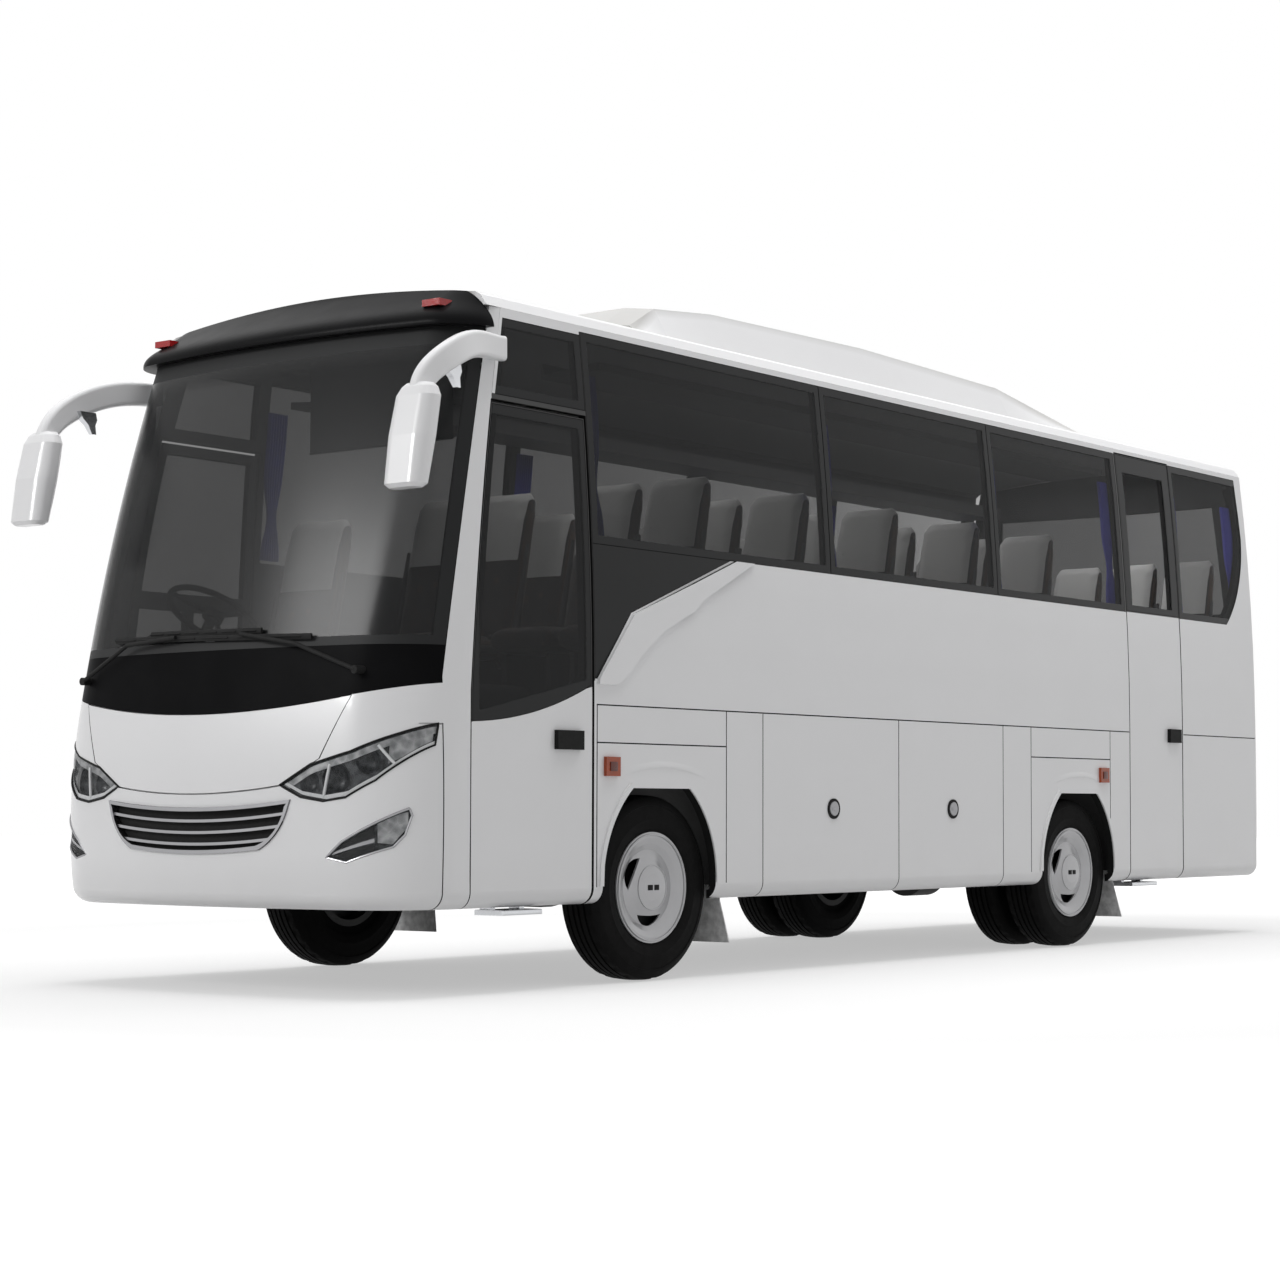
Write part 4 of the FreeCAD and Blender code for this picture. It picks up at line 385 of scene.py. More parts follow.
def lamp_inner(name, dark, bright, scale):
    """Faceted reflector behind a clear lens: dark, with bright specks painted on as glints off its facets."""
    s = Shader(name, dark, 0.34, 0.25)
    s.set("Specular IOR Level", 0.25)
    facets = s.cells(scale)
    painted_glints = s.times(facets, s.noise(28.0, 5.0))
    # Painted glints: bright specks mixed into the dark base colour.
    s.set("Base Color", s.ramp(painted_glints, [(0.12, dark), (0.42, bright)]))
    s.bump(facets, 0.25, 0.002)
    return s.material


def chrome(name, color=(0.78, 0.79, 0.80), roughness=0.10):
    return solid(name, color, roughness, 1.0, spread=0.03, grain=5.0, bump=0.02, rough_spread=0.04)


GLASS_TINT = (0.012, 0.0125, 0.013)
WHITE = paint_white("paint_white")
ROOF_WHITE = paint_white("paint_roof", coat=0.0, specular=0.15, shaded_top_half=0.93)
UNIT_WHITE = paint_white("paint_roof_unit", coat=0.0, specular=0.15, shaded_top_half=0.60)
WALL_WHITE = paint_white("paint_wall", [(-0.472, 5.020, 1.9165, 2.8515, 0.0, 0),
                                        (-1.072, -0.463, 2.4705, 2.5015, 0.0, 0),
                                        (-0.472, -0.463, 1.320, 2.8515, 0.0, 0)])
DOOR_WHITE = paint_white("paint_front_door", [(-1.262, -0.470, 1.116, 2.480, 0.2256, 0)])
REAR_DOOR_WHITE = paint_white("paint_rear_door", [(4.340, 5.020, 1.9185, 2.870, 0.0, 0)])
BLACK_GLOSS = satin_black("gloss_black", 0.32, 0.03)
COWL = satin_black("cowl_black", 0.40, 0.01)
SEAL = rubber("seal_rubber", (0.005, 0.005, 0.005))
TRIM = solid("cabin_trim", (0.055, 0.055, 0.056), 0.62, spread=0.12, grain=9.0, bump=0.10, bump_scale=420.0)
CEILING = woven("ceiling_cloth", (0.16, 0.16, 0.16), (0.11, 0.11, 0.11))
DASH = solid("dash_plastic", (0.040, 0.040, 0.042), 0.58, spread=0.12, grain=12.0, bump=0.16,
             bump_scale=520.0)
FLOOR = solid("floor_covering", (0.085, 0.085, 0.088), 0.55, spread=0.2, grain=40.0, bump=0.12,
              bump_scale=160.0)
UNDER = solid("under_black", (0.010, 0.010, 0.010), 0.62, spread=0.35, grain=12.0, bump=0.12,
              bump_scale=140.0)
STEEL = solid("pipe_steel", (0.30, 0.27, 0.24), 0.42, 1.0, spread=0.2, grain=9.0, bump=0.08)
CHROME = chrome("bright_chrome")
SILVER = chrome("satin_silver", (0.62, 0.63, 0.65), 0.24)
WHEEL = solid("wheel_silver_white", (0.42, 0.42, 0.43), 0.24, 0.35, spread=0.015, grain=3.0, bump=0.004,
              bump_scale=60.0, rough_spread=0.02, coat=0.3)
TYRE = tyre_rubber()
FLAP = rubber("flap_rubber", (0.68, 0.68, 0.68))
AMBER = solid("amber_lens", (0.34, 0.050, 0.008), 0.16, spread=0.1, grain=30.0, bump=0.3, bump_scale=110.0)
AMBER_DARK = solid("amber_dark", (0.10, 0.014, 0.006), 0.3, bump=0.2)
STEEL_GREY = solid("guard_grey", (0.10, 0.10, 0.105), 0.45, 0.3, bump=0.05)
RED = solid("red_lens", (0.42, 0.010, 0.012), 0.14, spread=0.1, grain=30.0, bump=0.3, bump_scale=110.0)
CLEAR_WHITE = solid("white_lens", (0.72, 0.73, 0.74), 0.14, spread=0.05, bump=0.3, bump_scale=110.0)
SEAT = seat_cloth()
LINEN = woven("head_linen", (0.62, 0.62, 0.61), (0.52, 0.52, 0.51), 420.0)
CURTAIN = woven("curtain_blue", (0.12, 0.115, 0.66), (0.065, 0.060, 0.42), 300.0)
BLIND = woven("blind_grey", (0.055, 0.055, 0.055), (0.04, 0.04, 0.04), 420.0, 0.1)
PANES = [(-1.20, -0.510, 2.538, 2.800, 0.0, 0), (-0.425, 1.305, 1.956, 2.812, 0.0, 0),
         (1.383, 2.876, 1.956, 2.812, 0.0, 0), (2.954, 4.292, 1.956, 2.812, 0.0, 0),
         (5.056, 5.93, 1.956, 2.812, 0.0, 1), (4.374, 5.93, 1.956, 2.812, 0.0, -1)]
GLASS_SIDE = banded_glass("glass_tinted", 0.58, 0.26, PANES)
GLASS_DOOR = banded_glass("glass_front_door", 0.56, 0.50, [(-1.20, -0.522, 1.168, 2.415, 0.2256, 0)])
GLASS_REAR_DOOR = banded_glass("glass_rear_door", 0.5, 0.08, [(4.425, 4.920, 1.962, 2.748, 0.0, 0)])
GLASS_REAR = tinted_glass("glass_rear", (0.015, 0.016, 0.017), 0.62).material
GLASS_SCREEN = screen_glass()
LENS = tinted_glass("lens_clear", (0.22, 0.23, 0.24), 0.05).material
LAMP_INNER = lamp_inner("lamp_inner", (0.004, 0.0045, 0.005), (0.055, 0.058, 0.062), 34.0)
LAMP_PALE = lamp_inner("lamp_pale", (0.17, 0.175, 0.18), (0.40, 0.405, 0.41), 26.0)
GRILLE_SILVER = chrome("grille_silver", (0.30, 0.30, 0.31), 0.34)
MIRROR = chrome("mirror_glass", (0.86, 0.87, 0.88), 0.03)
PLATE = solid("plate_blank", (0.03, 0.03, 0.03), 0.35, bump=0.05)


# Solids from the frame

def dress(name, base, *rules):
    """Gives a solid its material; each rule (material, test) repaints the faces its test picks."""
    mesh = nodes[name].data
    mesh.materials.clear()
    for material in (base, *(rule[0] for rule in rules)):
        mesh.materials.append(material)
    for polygon in mesh.polygons:
        polygon.material_index = 0
        for i, (_, test) in enumerate(rules, start=1):
            if test(polygon.center, polygon.normal):
                polygon.material_index = i
                break


def facing(out, limit):
    """1 outward, -1 inward, 0 across."""
    return 1 if out > limit else -1 if out < -limit else 0


def side_facing(centre, normal):
    """Facing of a face of a side panel."""
    return facing(normal.x * (1 if centre.x > 0 else -1), 0.6)


def end_facing(centre, normal, sign):
    """Facing of a face of the front (-1) or rear (1) end with their rounded corners."""
    corner, end = (0.4, nose_y(centre.z) + 0.45) if sign < 0 else (0.2, 6.0)
    axis_x = HALF - corner
    beyond = centre.x - max(-axis_x, min(axis_x, centre.x))
    past = centre.y - AXLE - end
    away = Vector((beyond, min(past, 0.0) if sign < 0 else max(past, 0.0), 0))
    if abs(beyond) < 1e-6:
        away = Vector((0, sign, 0))
    return facing(away.normalized().dot(Vector((normal.x, normal.y, 0))), 0.55)


def depth_in(centre):
    """How far a point lies inside the bus's side."""
    return side_x(centre.z) - abs(centre.x)


def is_underside(centre, normal):
    return centre.z < SILL_CURVE and normal.z < -0.15


def is_side_edge(centre, normal):
    """Faces in the gaps, grooves and window rebates of a side, which take the black seal: real seal in the
    gaps and rebates, painted shade in the grooves.
    """
    if is_underside(centre, normal) or is_raised(centre, normal):
        return False
    if depth_in(centre) > 0.036 and side_facing(centre, normal) < 0:
        return False
    return not (depth_in(centre) < 0.003 and side_facing(centre, normal) > 0)


def is_side_inside(centre, normal):
    return depth_in(centre) > 0.030 and side_facing(centre, normal) < 0


def is_raised(centre, normal):
    """Faces on the widest plane of a side or outside it."""
    return abs(centre.x) > HALF - 0.0005


def is_latch(centre, normal):
    return abs(centre.x) > HALF + 0.0005


def is_handle(centre, normal):
    handle_low, handle_high = 0.99, 1.26
    return is_latch(centre, normal) and handle_low < centre.z < handle_high


def is_grille_dark(centre, normal):
    """The plate behind the grille's bars, and the bars' tops and feet."""
    behind = centre.y - AXLE > front_y(centre.x, centre.z, -0.016)
    return behind or (abs(normal.z) > 0.5 and abs(centre.x) < 0.52)


def is_wheel_inside(centre, normal):
    return abs(centre.x) < 0.99


def end_rules(sign):
    """Trim inside and dark gaps for a panel of the front (-1) or rear (1) end."""
    def is_edge(centre, normal):
        if is_underside(centre, normal) or (centre.z > GUTTER and abs(normal.z) > 0.2):
            return False
        return end_facing(centre, normal, sign) == 0
    return (TRIM, lambda centre, normal: end_facing(centre, normal, sign) < 0), (SEAL, is_edge)


def dress_solids():
    side_rules = ((TRIM, is_side_inside), (SEAL, is_side_edge))
    for side, _ in SIDES:
        dress(f"side_wall_{side}", WALL_WHITE, *side_rules)
        for place in ("front", "rear"):
            dress(f"luggage_door_{place}_{side}", WHITE, (SEAL, is_latch), *side_rules)
    for name, paint in (("front_door", DOOR_WHITE), ("driver_door", DOOR_WHITE),
                        ("rear_door", REAR_DOOR_WHITE)):
        dress(name, paint, (SEAL, is_handle), *side_rules)
    for name, sign in (("front_mask", -1), ("front_hatch", -1), ("rear_mask", 1), ("boot_lid", 1)):
        dress(name, WHITE, *end_rules(sign))
    for place, _, _ in WHEELS:
        dress(f"wheel_{place}", WHEEL, (UNDER, is_wheel_inside))
    dress("roof_shell", ROOF_WHITE, (CEILING, lambda c, n: n.z < -0.15 and abs(c.x) < 1.02))
    dress("grille", GRILLE_SILVER, (SEAL, is_grille_dark))
    dress("floor_pan", FLOOR, (UNDER, lambda c, n: n.z < -0.2 or c.z < 0.95))
    for material, names in (
            (WHITE, "mirrors"), (UNIT_WHITE, "roof_ac_unit"), (BLACK_GLOSS, "roof_visor roof_hatch"),
            (COWL, "cowl_panel"), (SILVER, "door_steps"), (GLASS_SIDE, "side_glass"),
            (GLASS_DOOR, "front_door_glass driver_door_glass"), (GLASS_REAR_DOOR, "rear_door_glass"),
            (GLASS_SCREEN, "windscreen"), (GLASS_REAR, "rear_window"), (LENS, "lamp_lenses"),
            (LAMP_INNER, "lamp_units"), (RED, "red_lamps"), (AMBER, "side_markers"),
            (SEAL, "wipers steering_wheel"), (FLAP, "mud_flaps"), (STEEL, "exhaust"),
            (TRIM, "luggage_tubs luggage_racks"), (DASH, "cab_trim"),
            (UNDER, "seat_legs chassis_frame front_axle_beam rear_axle leaf_springs engine_block propshaft"),
            (UNDER, "fuel_tank knuckle_left knuckle_right")):
        for name in names.split():
            dress(name, material)


# Pieces made here

def placed(name, data):
    """A new object in the scene."""
    made = bpy.data.objects.new(name, data)
    scene.collection.objects.link(made)
    return made


def mesh_of(name, bm, outward=True):
    """Turns a bmesh into a mesh, its faces turned outward unless they are to stay as they are."""
    mesh = bpy.data.meshes.new(name)
    if outward:
        bmesh.ops.recalc_face_normals(bm, faces=bm.faces)
    bm.to_mesh(mesh)
    bm.free()
    return mesh


def finished(mesh, material):
    """The mesh with its material and smooth shading."""
    mesh.materials.append(material)
    for polygon in mesh.polygons:
        polygon.use_smooth = True
    return mesh


def piece(name, bm, material, body=BODY, angle=35.0):
    """Turns a bmesh into a piece that rides on a body."""
    mesh = finished(mesh_of(name, bm), material)
    mesh.set_sharp_from_angle(angle=math.radians(angle))
    made = placed(name, mesh)
    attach(made, body)
    return made


def area_of(bm):
    return sum(face.calc_area() for face in bm.faces)


def bridge(bm, first, second, closed=True):
    count = len(first)
    for i in range(count if closed else count - 1):
        j = (i + 1) % count
        bm.faces.new((first[i], first[j], second[j], second[i]))


def add_skin(bm, rings, closed=True):
    """Skin through rings of equal length; returns their corners."""
    made = [[bm.verts.new(point) for point in ring] for ring in rings]
    for first, second in zip(made, made[1:]):
        bridge(bm, first, second, closed)
    return made


def add_loft(bm, rings):
    """Skin through rings, closed at both ends."""
    made = add_skin(bm, rings)
    bm.faces.new(made[0][::-1])
    bm.faces.new(made[-1])


def add_loop(bm, rings):
    """Skin through rings, the last joined to the first."""
    made = add_skin(bm, rings)
    bridge(bm, made[-1], made[0])


def shares(count):
    """Evenly spaced numbers from 0 to 1."""
    return [k / (count - 1) for k in range(count)]


def circle(centre, first, second, count):
    """Points round a centre, through its two radii."""
    return [centre + first * math.cos(t) + second * math.sin(t)
            for t in (math.tau * k / count for k in range(count))]


def off_axis(way):
    """A direction that doesn't lie along the given one."""
    return UP if abs(way.z) < 0.9 else ACROSS


def surface(name):
    """Search tree over a solid's own triangles."""
    mesh = nodes[name].data
    return BVHTree.FromPolygons([v.co for v in mesh.vertices], [p.vertices[:] for p in mesh.polygons])


def hit(tree, start, way):
    """Point and normal where a line first meets a solid."""
    place, normal, _, _ = tree.ray_cast(Vector(start), Vector(way))
    return place, normal if normal.dot(Vector(way)) < 0 else -normal


def add_lathe(bm, profile, place, way, count):
    """Turns a profile of (along, radius) about an axis through a place and closes both ends."""
    way = way.normalized()
    first = way.cross(off_axis(way)).normalized()
    second = way.cross(first)
    add_loft(bm, [circle(place + way * along, first * radius, second * radius, count)
                  for along, radius in profile])


def height_on(line, x):
    """Height of a polyline of (x, z) at x."""
    for (xa, za), (xb, zb) in zip(line, line[1:]):
        if xa <= x <= xb:
            return za + (zb - za) * (x - xa) / (xb - xa)
    return line[0][1] if x < line[0][0] else line[-1][1]


def add_front_band(bm, sign, low, high, depth, thick=0.0015, columns=28):
    """Thin plate under the front skin between two polylines of (x, z)."""
    x0, x1 = max(low[0][0], high[0][0]), min(low[-1][0], high[-1][0])
    rings = []
    for k in range(columns + 1):
        x = x0 + (x1 - x0) * k / columns
        foot, top = height_on(low, x), height_on(high, x)
        if top - foot < 0.0008:
            foot, top = (foot + top) / 2 - 0.0004, (foot + top) / 2 + 0.0004
        rings.append([at(sign * x, front_y(x, z, -d), z)
                      for z, d in ((foot, depth), (top, depth), (top, depth + thick), (foot, depth + thick))])
    add_loft(bm, rings)


def front_line(sign, points, depth, closed=False, steps=8):
    """Points a depth under the front skin along a polyline of (x, z)."""
    flat = []
    ends = points[1:] + points[:1] if closed else points[1:]
    for (xa, za), (xb, zb) in zip(points, ends):
        flat += [(xa + (xb - xa) * k / steps, za + (zb - za) * k / steps) for k in range(steps)]
    if not closed:
        flat.append(points[-1])
    return [at(sign * x, front_y(x, z, -depth), z) for x, z in flat]


def add_tube(bm, points, radius, sides=10, closed=False, flat=1.0):
    """A tube along points; flat squeezes it along its second direction."""
    count = len(points)
    radii = radius if isinstance(radius, list) else [radius] * count
    rings = []
    up = None
    for i, (point, r) in enumerate(zip(points, radii)):
        before = points[i - 1] if i or closed else points[0]
        after = points[(i + 1) % count] if i + 1 < count or closed else points[-1]
        way = (after - before).normalized()
        if up is None:
            up = off_axis(way)
        up = (up - way * up.dot(way)).normalized()
        rings.append(circle(point, way.cross(up) * r, up * r * flat, sides))
    if closed:
        add_loop(bm, rings)
    else:
        add_loft(bm, rings)


def add_block(bm, corner, opposite, bevel):
    """A block with rounded edges between two corners."""
    low = [min(pair) for pair in zip(corner, opposite)]
    high = [max(pair) for pair in zip(corner, opposite)]
    verts = bmesh.ops.create_cube(bm, size=1.0)["verts"]
    for v in verts:
        v.co = Vector(low[i] + (high[i] - low[i]) * (v.co[i] + 0.5) for i in range(3))
    edges = list({e for v in verts for e in v.link_edges})
    bmesh.ops.bevel(bm, geom=edges, offset=bevel, segments=2, affect="EDGES", profile=0.6)


# Tyres

def tyre_profile():
    """Half profile of one tyre from bead to the middle of the tread, as (along, radius)."""
    width = 0.1075
    wall = [(0.0250, 0.2035), (0.0190, 0.2150), (0.0160, 0.2480), (0.0110, 0.2560), (0.0070, 0.2620),
            (0.0030, 0.2800), (0.0012, 0.3000), (0.0006, 0.3020), (0.0004, 0.3040), (0.0012, 0.3060),
            (0.0022, 0.3300), (0.0055, 0.3520), (0.0075, 0.3660), (0.0045, 0.3680), (0.0060, 0.3760),
            (0.0120, 0.3860), (0.0190, 0.3990), (0.0250, 0.4060)]
    tread = [(0.0770, 0.0055), (0.0600, 0.0030), (0.0520, 0.0028), (0.0505, 0.0140), (0.0430, 0.0140),
             (0.0415, 0.0020), (0.0200, 0.0008), (0.0185, 0.0140), (0.0105, 0.0140), (0.0090, 0.0004)]
    return [(width - inset, r) for inset, r in wall] + [(a, TYRE_RADIUS - worn) for a, worn in tread]


def add_tyre(bm, centre, segments=120):
    """One tyre with ribbed walls, four grooves and notched shoulder blocks."""
    half_profile = tyre_profile()
    profile = half_profile + [(-a, r) for a, r in reversed(half_profile)]
    rings = []
    for k in range(segments):
        angle = math.tau * k / segments
        notch = 0.008 if k % 4 == 0 else 0.0
        ring = []
        for a, r in profile:
            if 0.058 < abs(a) < 0.080 and r > 0.40:
                r -= notch
            ring.append(centre + Vector((a, r * math.cos(angle), r * math.sin(angle))))
        rings.append(ring)
    add_loop(bm, rings)


def tyres():
    twins = (OUTER_WHEEL_X, INNER_WHEEL_X)
    for place, y, sign in WHEELS:
        bm = bmesh.new()
        for x in twins if y == WHEELBASE else twins[:1]:
            add_tyre(bm, at(x * sign, y, TYRE_RADIUS))
        made = piece(f"tyre_tread_{place}", bm, TYRE, f"{place}_wheel", angle=28)
        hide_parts(f"tyre_{place}")


def wheel_details():
    """Trim rings and cap marks of each wheel cover."""
    for place, y, sign in WHEELS:
        centre = at(OUTER_WHEEL_X * sign, y, TYRE_RADIUS)
        rings, marks = bmesh.new(), bmesh.new()
        for radius, along, thick in ((0.236, 0.1035, 0.0045), (0.099, 0.1045, 0.003)):
            middle = centre + ACROSS * along * sign
            add_tube(rings, circle(middle, ALONG * radius, UP * radius, 72), thick, 8, closed=True)
        for offset in (-0.022, 0.022):
            add_block(marks, centre + Vector((0.1085 * sign, offset - 0.016, -0.012)),
                      centre + Vector((0.1135 * sign, offset + 0.016, 0.012)), 0.0015)
        piece(f"wheel_ring_{place}", rings, WHEEL, f"{place}_wheel")
        piece(f"wheel_marks_{place}", marks, SEAL, f"{place}_wheel")


# Seats

def seat_places():
    """Every seat as (x, y, width, floor height)."""
    aisle_half, gap = 0.140, 0.008
    inner = aisle_half + SEAT_WIDTH / 2
    rows = [(0.5 + 0.8 * i, (1, -1)) for i in range(5)] + [(4.5, (-1,))]
    places = [(side * (inner + (SEAT_WIDTH + gap) * k), y, SEAT_WIDTH, 1.15)
              for y, sides in rows for side in sides for k in range(2)]
    places += [(0.398 * k, 5.64, 0.390, 1.15) for k in range(-2, 3)]
    places.append((-0.640, -0.480, 0.435, 0.95))
    return places


def cushion_shape(name, rings):
    """Closed cushion through rounded rings, swelled by a cloth run and thinned again."""
    bm = bmesh.new()
    add_loft(bm, rings)
    made = placed(name, mesh_of(name, bm))
    swell(made)
    finished(made.data, SEAT)
    return made


def swell(obj, voxel=0.009, cap=0.010):
    """Inflates a cushion with cloth pressure and keeps every point near where it began."""
    bpy.context.view_layer.objects.active = obj
    obj.select_set(True)
    remesh = obj.modifiers.new("even", "REMESH")
    remesh.mode = "VOXEL"
    remesh.voxel_size = voxel
    bpy.ops.object.modifier_apply(modifier=remesh.name)
    before = [v.co.copy() for v in obj.data.vertices]
    cloth = obj.modifiers.new("cloth", "CLOTH")
    cloth.settings.use_pressure = True
    cloth.settings.uniform_pressure_force = 4.0
    cloth.settings.quality = 4
    cloth.settings.effector_weights.gravity = 0.0
    cloth.collision_settings.use_collision = False
    start = scene.frame_current
    for f in range(1, 21):
        scene.frame_set(f)
    shape = obj.evaluated_get(bpy.context.evaluated_depsgraph_get()).data
    after = [v.co.copy() for v in shape.vertices]
    obj.modifiers.remove(cloth)
    scene.frame_set(start)
    for v, old, new in zip(obj.data.vertices, before, after):
        move = new - old
        if move.length > cap:
            move *= cap / move.length
        v.co = old + move
    thin = obj.modifiers.new("thin", "DECIMATE")
    thin.ratio = 0.45
    bpy.ops.object.modifier_apply(modifier=thin.name)
    obj.select_set(False)


def rounded_ring(place, wide, deep, power=4.0, count=28):
    """Superellipse ring; place turns (across, through) into a point."""
    ring = []
    for k in range(count):
        t = math.tau * k / count
        c, s = math.cos(t), math.sin(t)
        a = math.copysign(abs(c) ** (2 / power), c) * wide
        b = math.copysign(abs(s) ** (2 / power), s) * deep
        ring.append(place(a, b))
    return ring


def seat_shapes():
    """Cushion and back of one seat about x 0, y at the back's head, z from the floor."""
    half = SEAT_WIDTH / 2 - 0.012
    rings = []
    for share, wide, thick in ((0.0, 0.90, 0.036), (0.04, 0.98, 0.050), (0.3, 1.0, 0.056),
                               (0.7, 1.0, 0.054), (0.96, 0.97, 0.050), (1.0, 0.92, 0.040)):
        y = -0.628 + 0.470 * share
        rings.append(rounded_ring(lambda a, b: Vector((a, y, 0.395 + b)), half * wide, thick))
    cushion = cushion_shape("seat_cushion_shape", rings)
    rings = []
    for share, wide, thick in ((0.0, 0.93, 0.048), (0.05, 0.98, 0.055), (0.35, 1.0, 0.052),
                               (0.62, 0.99, 0.050), (0.82, 0.96, 0.050), (0.95, 0.88, 0.044),
                               (1.0, 0.74, 0.028)):
        z = 0.445 + 0.742 * share
        y = -0.072 + 0.150 * share
        rings.append(rounded_ring(lambda a, b: Vector((a, y + b * 0.98, z + b * 0.15)), half * wide, thick))
    return cushion, cushion_shape("seat_back_shape", rings)


def head_cover_mesh(back):
    """Pale linen that hangs over the head of the seat, just outside the back's own surface, and its area."""
    low, clearance = 0.84, 0.0035
    side = ACROSS * COVER_WIDTH / 2
    bm = bmesh.new()
    bm.from_mesh(back.data)
    bm.normal_update()
    for place, way in ((UP * low, -UP), (side, ACROSS), (-side, -ACROSS)):
        geometry = bm.verts[:] + bm.edges[:] + bm.faces[:]
        bmesh.ops.bisect_plane(bm, geom=geometry, plane_co=place, plane_no=way, clear_outer=True)
    bm.normal_update()
    for v in bm.verts:
        v.co += v.normal * clearance
    area = area_of(bm)
    return finished(mesh_of("head_cover_shape", bm, outward=False), LINEN), area


def seat_frame_mesh():
    """Side shells and armrests of one seat."""
    line = ((-0.60, 0.42), (-0.45, 0.375), (-0.18, 0.39), (-0.085, 0.50), (-0.045, 0.70), (0.0, 0.92))
    bm = bmesh.new()
    for _, sign in SIDES:
        points = [Vector((sign * 0.196, y, z)) for y, z in line]
        add_tube(bm, points, [0.010, 0.014, 0.018, 0.018, 0.012, 0.008], 8, flat=1.3)
    return finished(mesh_of("seat_frame_shape", bm), TRIM)


def seats():
    cushion, back = seat_shapes()
    cover, cover_area = head_cover_mesh(back)
    meshes = (("cushion", cushion.data), ("back", back.data), ("cover", cover), ("frame", seat_frame_mesh()))
    for number, (x, y, width, floor_z) in enumerate(seat_places(), start=1):
        for kind, mesh in meshes:
            obj = placed(f"seat_{kind}_{number:02d}", mesh)
            obj.location = at(x, y, floor_z)
            obj.scale = (width / SEAT_WIDTH, 1, 1)
            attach(obj, BODY)
            if kind == "frame":
                continue
    for shape in (cushion, back):
        bpy.data.objects.remove(shape)
    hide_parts("seats")


# Cloth at the windows

def curtain(name, y, sign, top, foot, width):
    """Gathered curtain tied in at two thirds of its height, as a pleated sheet."""
    rows, columns, pleats = 34, 61, 7
    grid = []
    for share in shares(rows):
        z = top + (foot - top) * share
        tie = math.exp(-((share - 0.70) / 0.16) ** 2)
        wide = width * (1.0 - 0.50 * tie)
        depth = 0.0105 * (1.0 - 0.45 * tie)
        row = []
        for across in shares(columns):
            fold = math.cos(math.tau * pleats * across + 0.5 * math.sin(3 * share))
            x = side_x(z) - WALL - 0.0165 + depth * fold
            row.append(at(sign * x, y + (across - 0.5) * wide + 0.003 * math.sin(9 * share), z))
        grid.append(row)
    bm = bmesh.new()
    add_skin(bm, grid, closed=False)
    area = area_of(bm)
    made = piece(name, bm, CURTAIN, angle=180)
    return made


def curtains():
    for number, y in enumerate((-0.386, 1.406, 2.977, 4.275, 5.092, 5.850), start=1):
        for side, sign in SIDES:
            if sign > 0 or number != 5:
                curtain(f"curtain_{side}_{number}", y, sign, 2.675, 1.965, 0.115)
    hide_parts("curtains")


def sun_blind():
    """Roller blind behind the windscreen, with its weighted bar."""
    low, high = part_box("sun_blind")
    y = (low.y + high.y) / 2
    columns, rows = 24, 12
    foot, top = low.z + 0.006, high.z - 0.030
    grid = []
    for i in range(rows):
        z = top + (foot - top) * i / (rows - 1)
        row = []
        for j in range(columns):
            x = low.x + (high.x - low.x) * j / (columns - 1)
            ripple = 0.0016 * math.sin(x * 21) * i / rows
            sag = 0.05 * (x / 1.1) ** 2 * (i == 0)
            row.append(Vector((x, y + ripple, z - sag)))
        grid.append(row)
    cloth, weight = bmesh.new(), bmesh.new()
    add_skin(cloth, grid, closed=False)
    area = area_of(cloth)
    made = piece("sun_blind_cloth", cloth, BLIND)
    add_tube(weight, [Vector((x, y, foot)) for x in (low.x, high.x)], 0.006)
    bar = piece("sun_blind_bar", weight, SEAL)
    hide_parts("sun_blind")


# Outside trim

def mirror_parts():
    """Mirror glass with its dark rim on the back of each head, and a small bracket under each arm."""
    heads = surface("mirrors")
    for side, sign in SIDES:
        for name, material, slot, wide, low, high, lift in (
                ("rim", SEAL, "trim_black", 0.074, 2.075, 2.405, 0.0004),
                ("glass", MIRROR, "grille_chrome", 0.066, 2.085, 2.395, 0.0024)):
            grid = []
            for share in shares(13):
                z = low + (high - low) * share
                half = wide * (1 - 0.16 * abs(2 * share - 1) ** 4)
                places = [at(sign * (1.160 + half * (k / 3 - 1)), -1.2, z) for k in range(7)]
                grid.append([hit(heads, place, -ALONG)[0] + ALONG * lift for place in places])
            bm = bmesh.new()
            add_skin(bm, grid, closed=False)
            bmesh.ops.recalc_face_normals(bm, faces=bm.faces)
            bmesh.ops.solidify(bm, geom=bm.faces[:], thickness=0.002)
            piece(f"mirror_{name}_{side}", bm, material)
        root, _ = hit(heads, at(sign * 1.13, -1.42, 2.2), UP)
        rings = []
        for drop, long, wide in ((-0.002, 0.045, 0.020), (0.030, 0.040, 0.018), (0.055, 0.020, 0.016),
                                 (0.095, 0.012, 0.010)):
            middle = root + Vector((0, 0.45 * drop, -drop))
            corners = ((-1, -1), (1, -1), (1, 1), (-1, 1))
            rings.append([middle + Vector((a * wide, b * long, 0)) for a, b in corners])
        bm = bmesh.new()
        add_loft(bm, rings)
        piece(f"mirror_bracket_{side}", bm, SILVER)


def wiper_blades():
    """Blades on the two arms, lying on the glass."""
    spans = (("left", (-0.652, 1.497), (0.576, 1.470)), ("right", (-0.393, 1.512), (0.300, 1.503)))
    for side, (x0, z0), (x1, z1) in spans:
        points = []
        for share in shares(25):
            x, z = x0 + (x1 - x0) * share, z0 + (z1 - z0) * share
            points.append(at(x, front_y(x, z, 0.016), z))
        bm = bmesh.new()
        add_tube(bm, points, 0.0065, 6, flat=2.2)
        for k in range(0, len(points) - 1, 4):
            add_tube(bm, [points[k] - ALONG * 0.006, points[k + 3] - ALONG * 0.006], 0.004, 6)
        piece(f"wiper_blade_{side}", bm, SEAL)


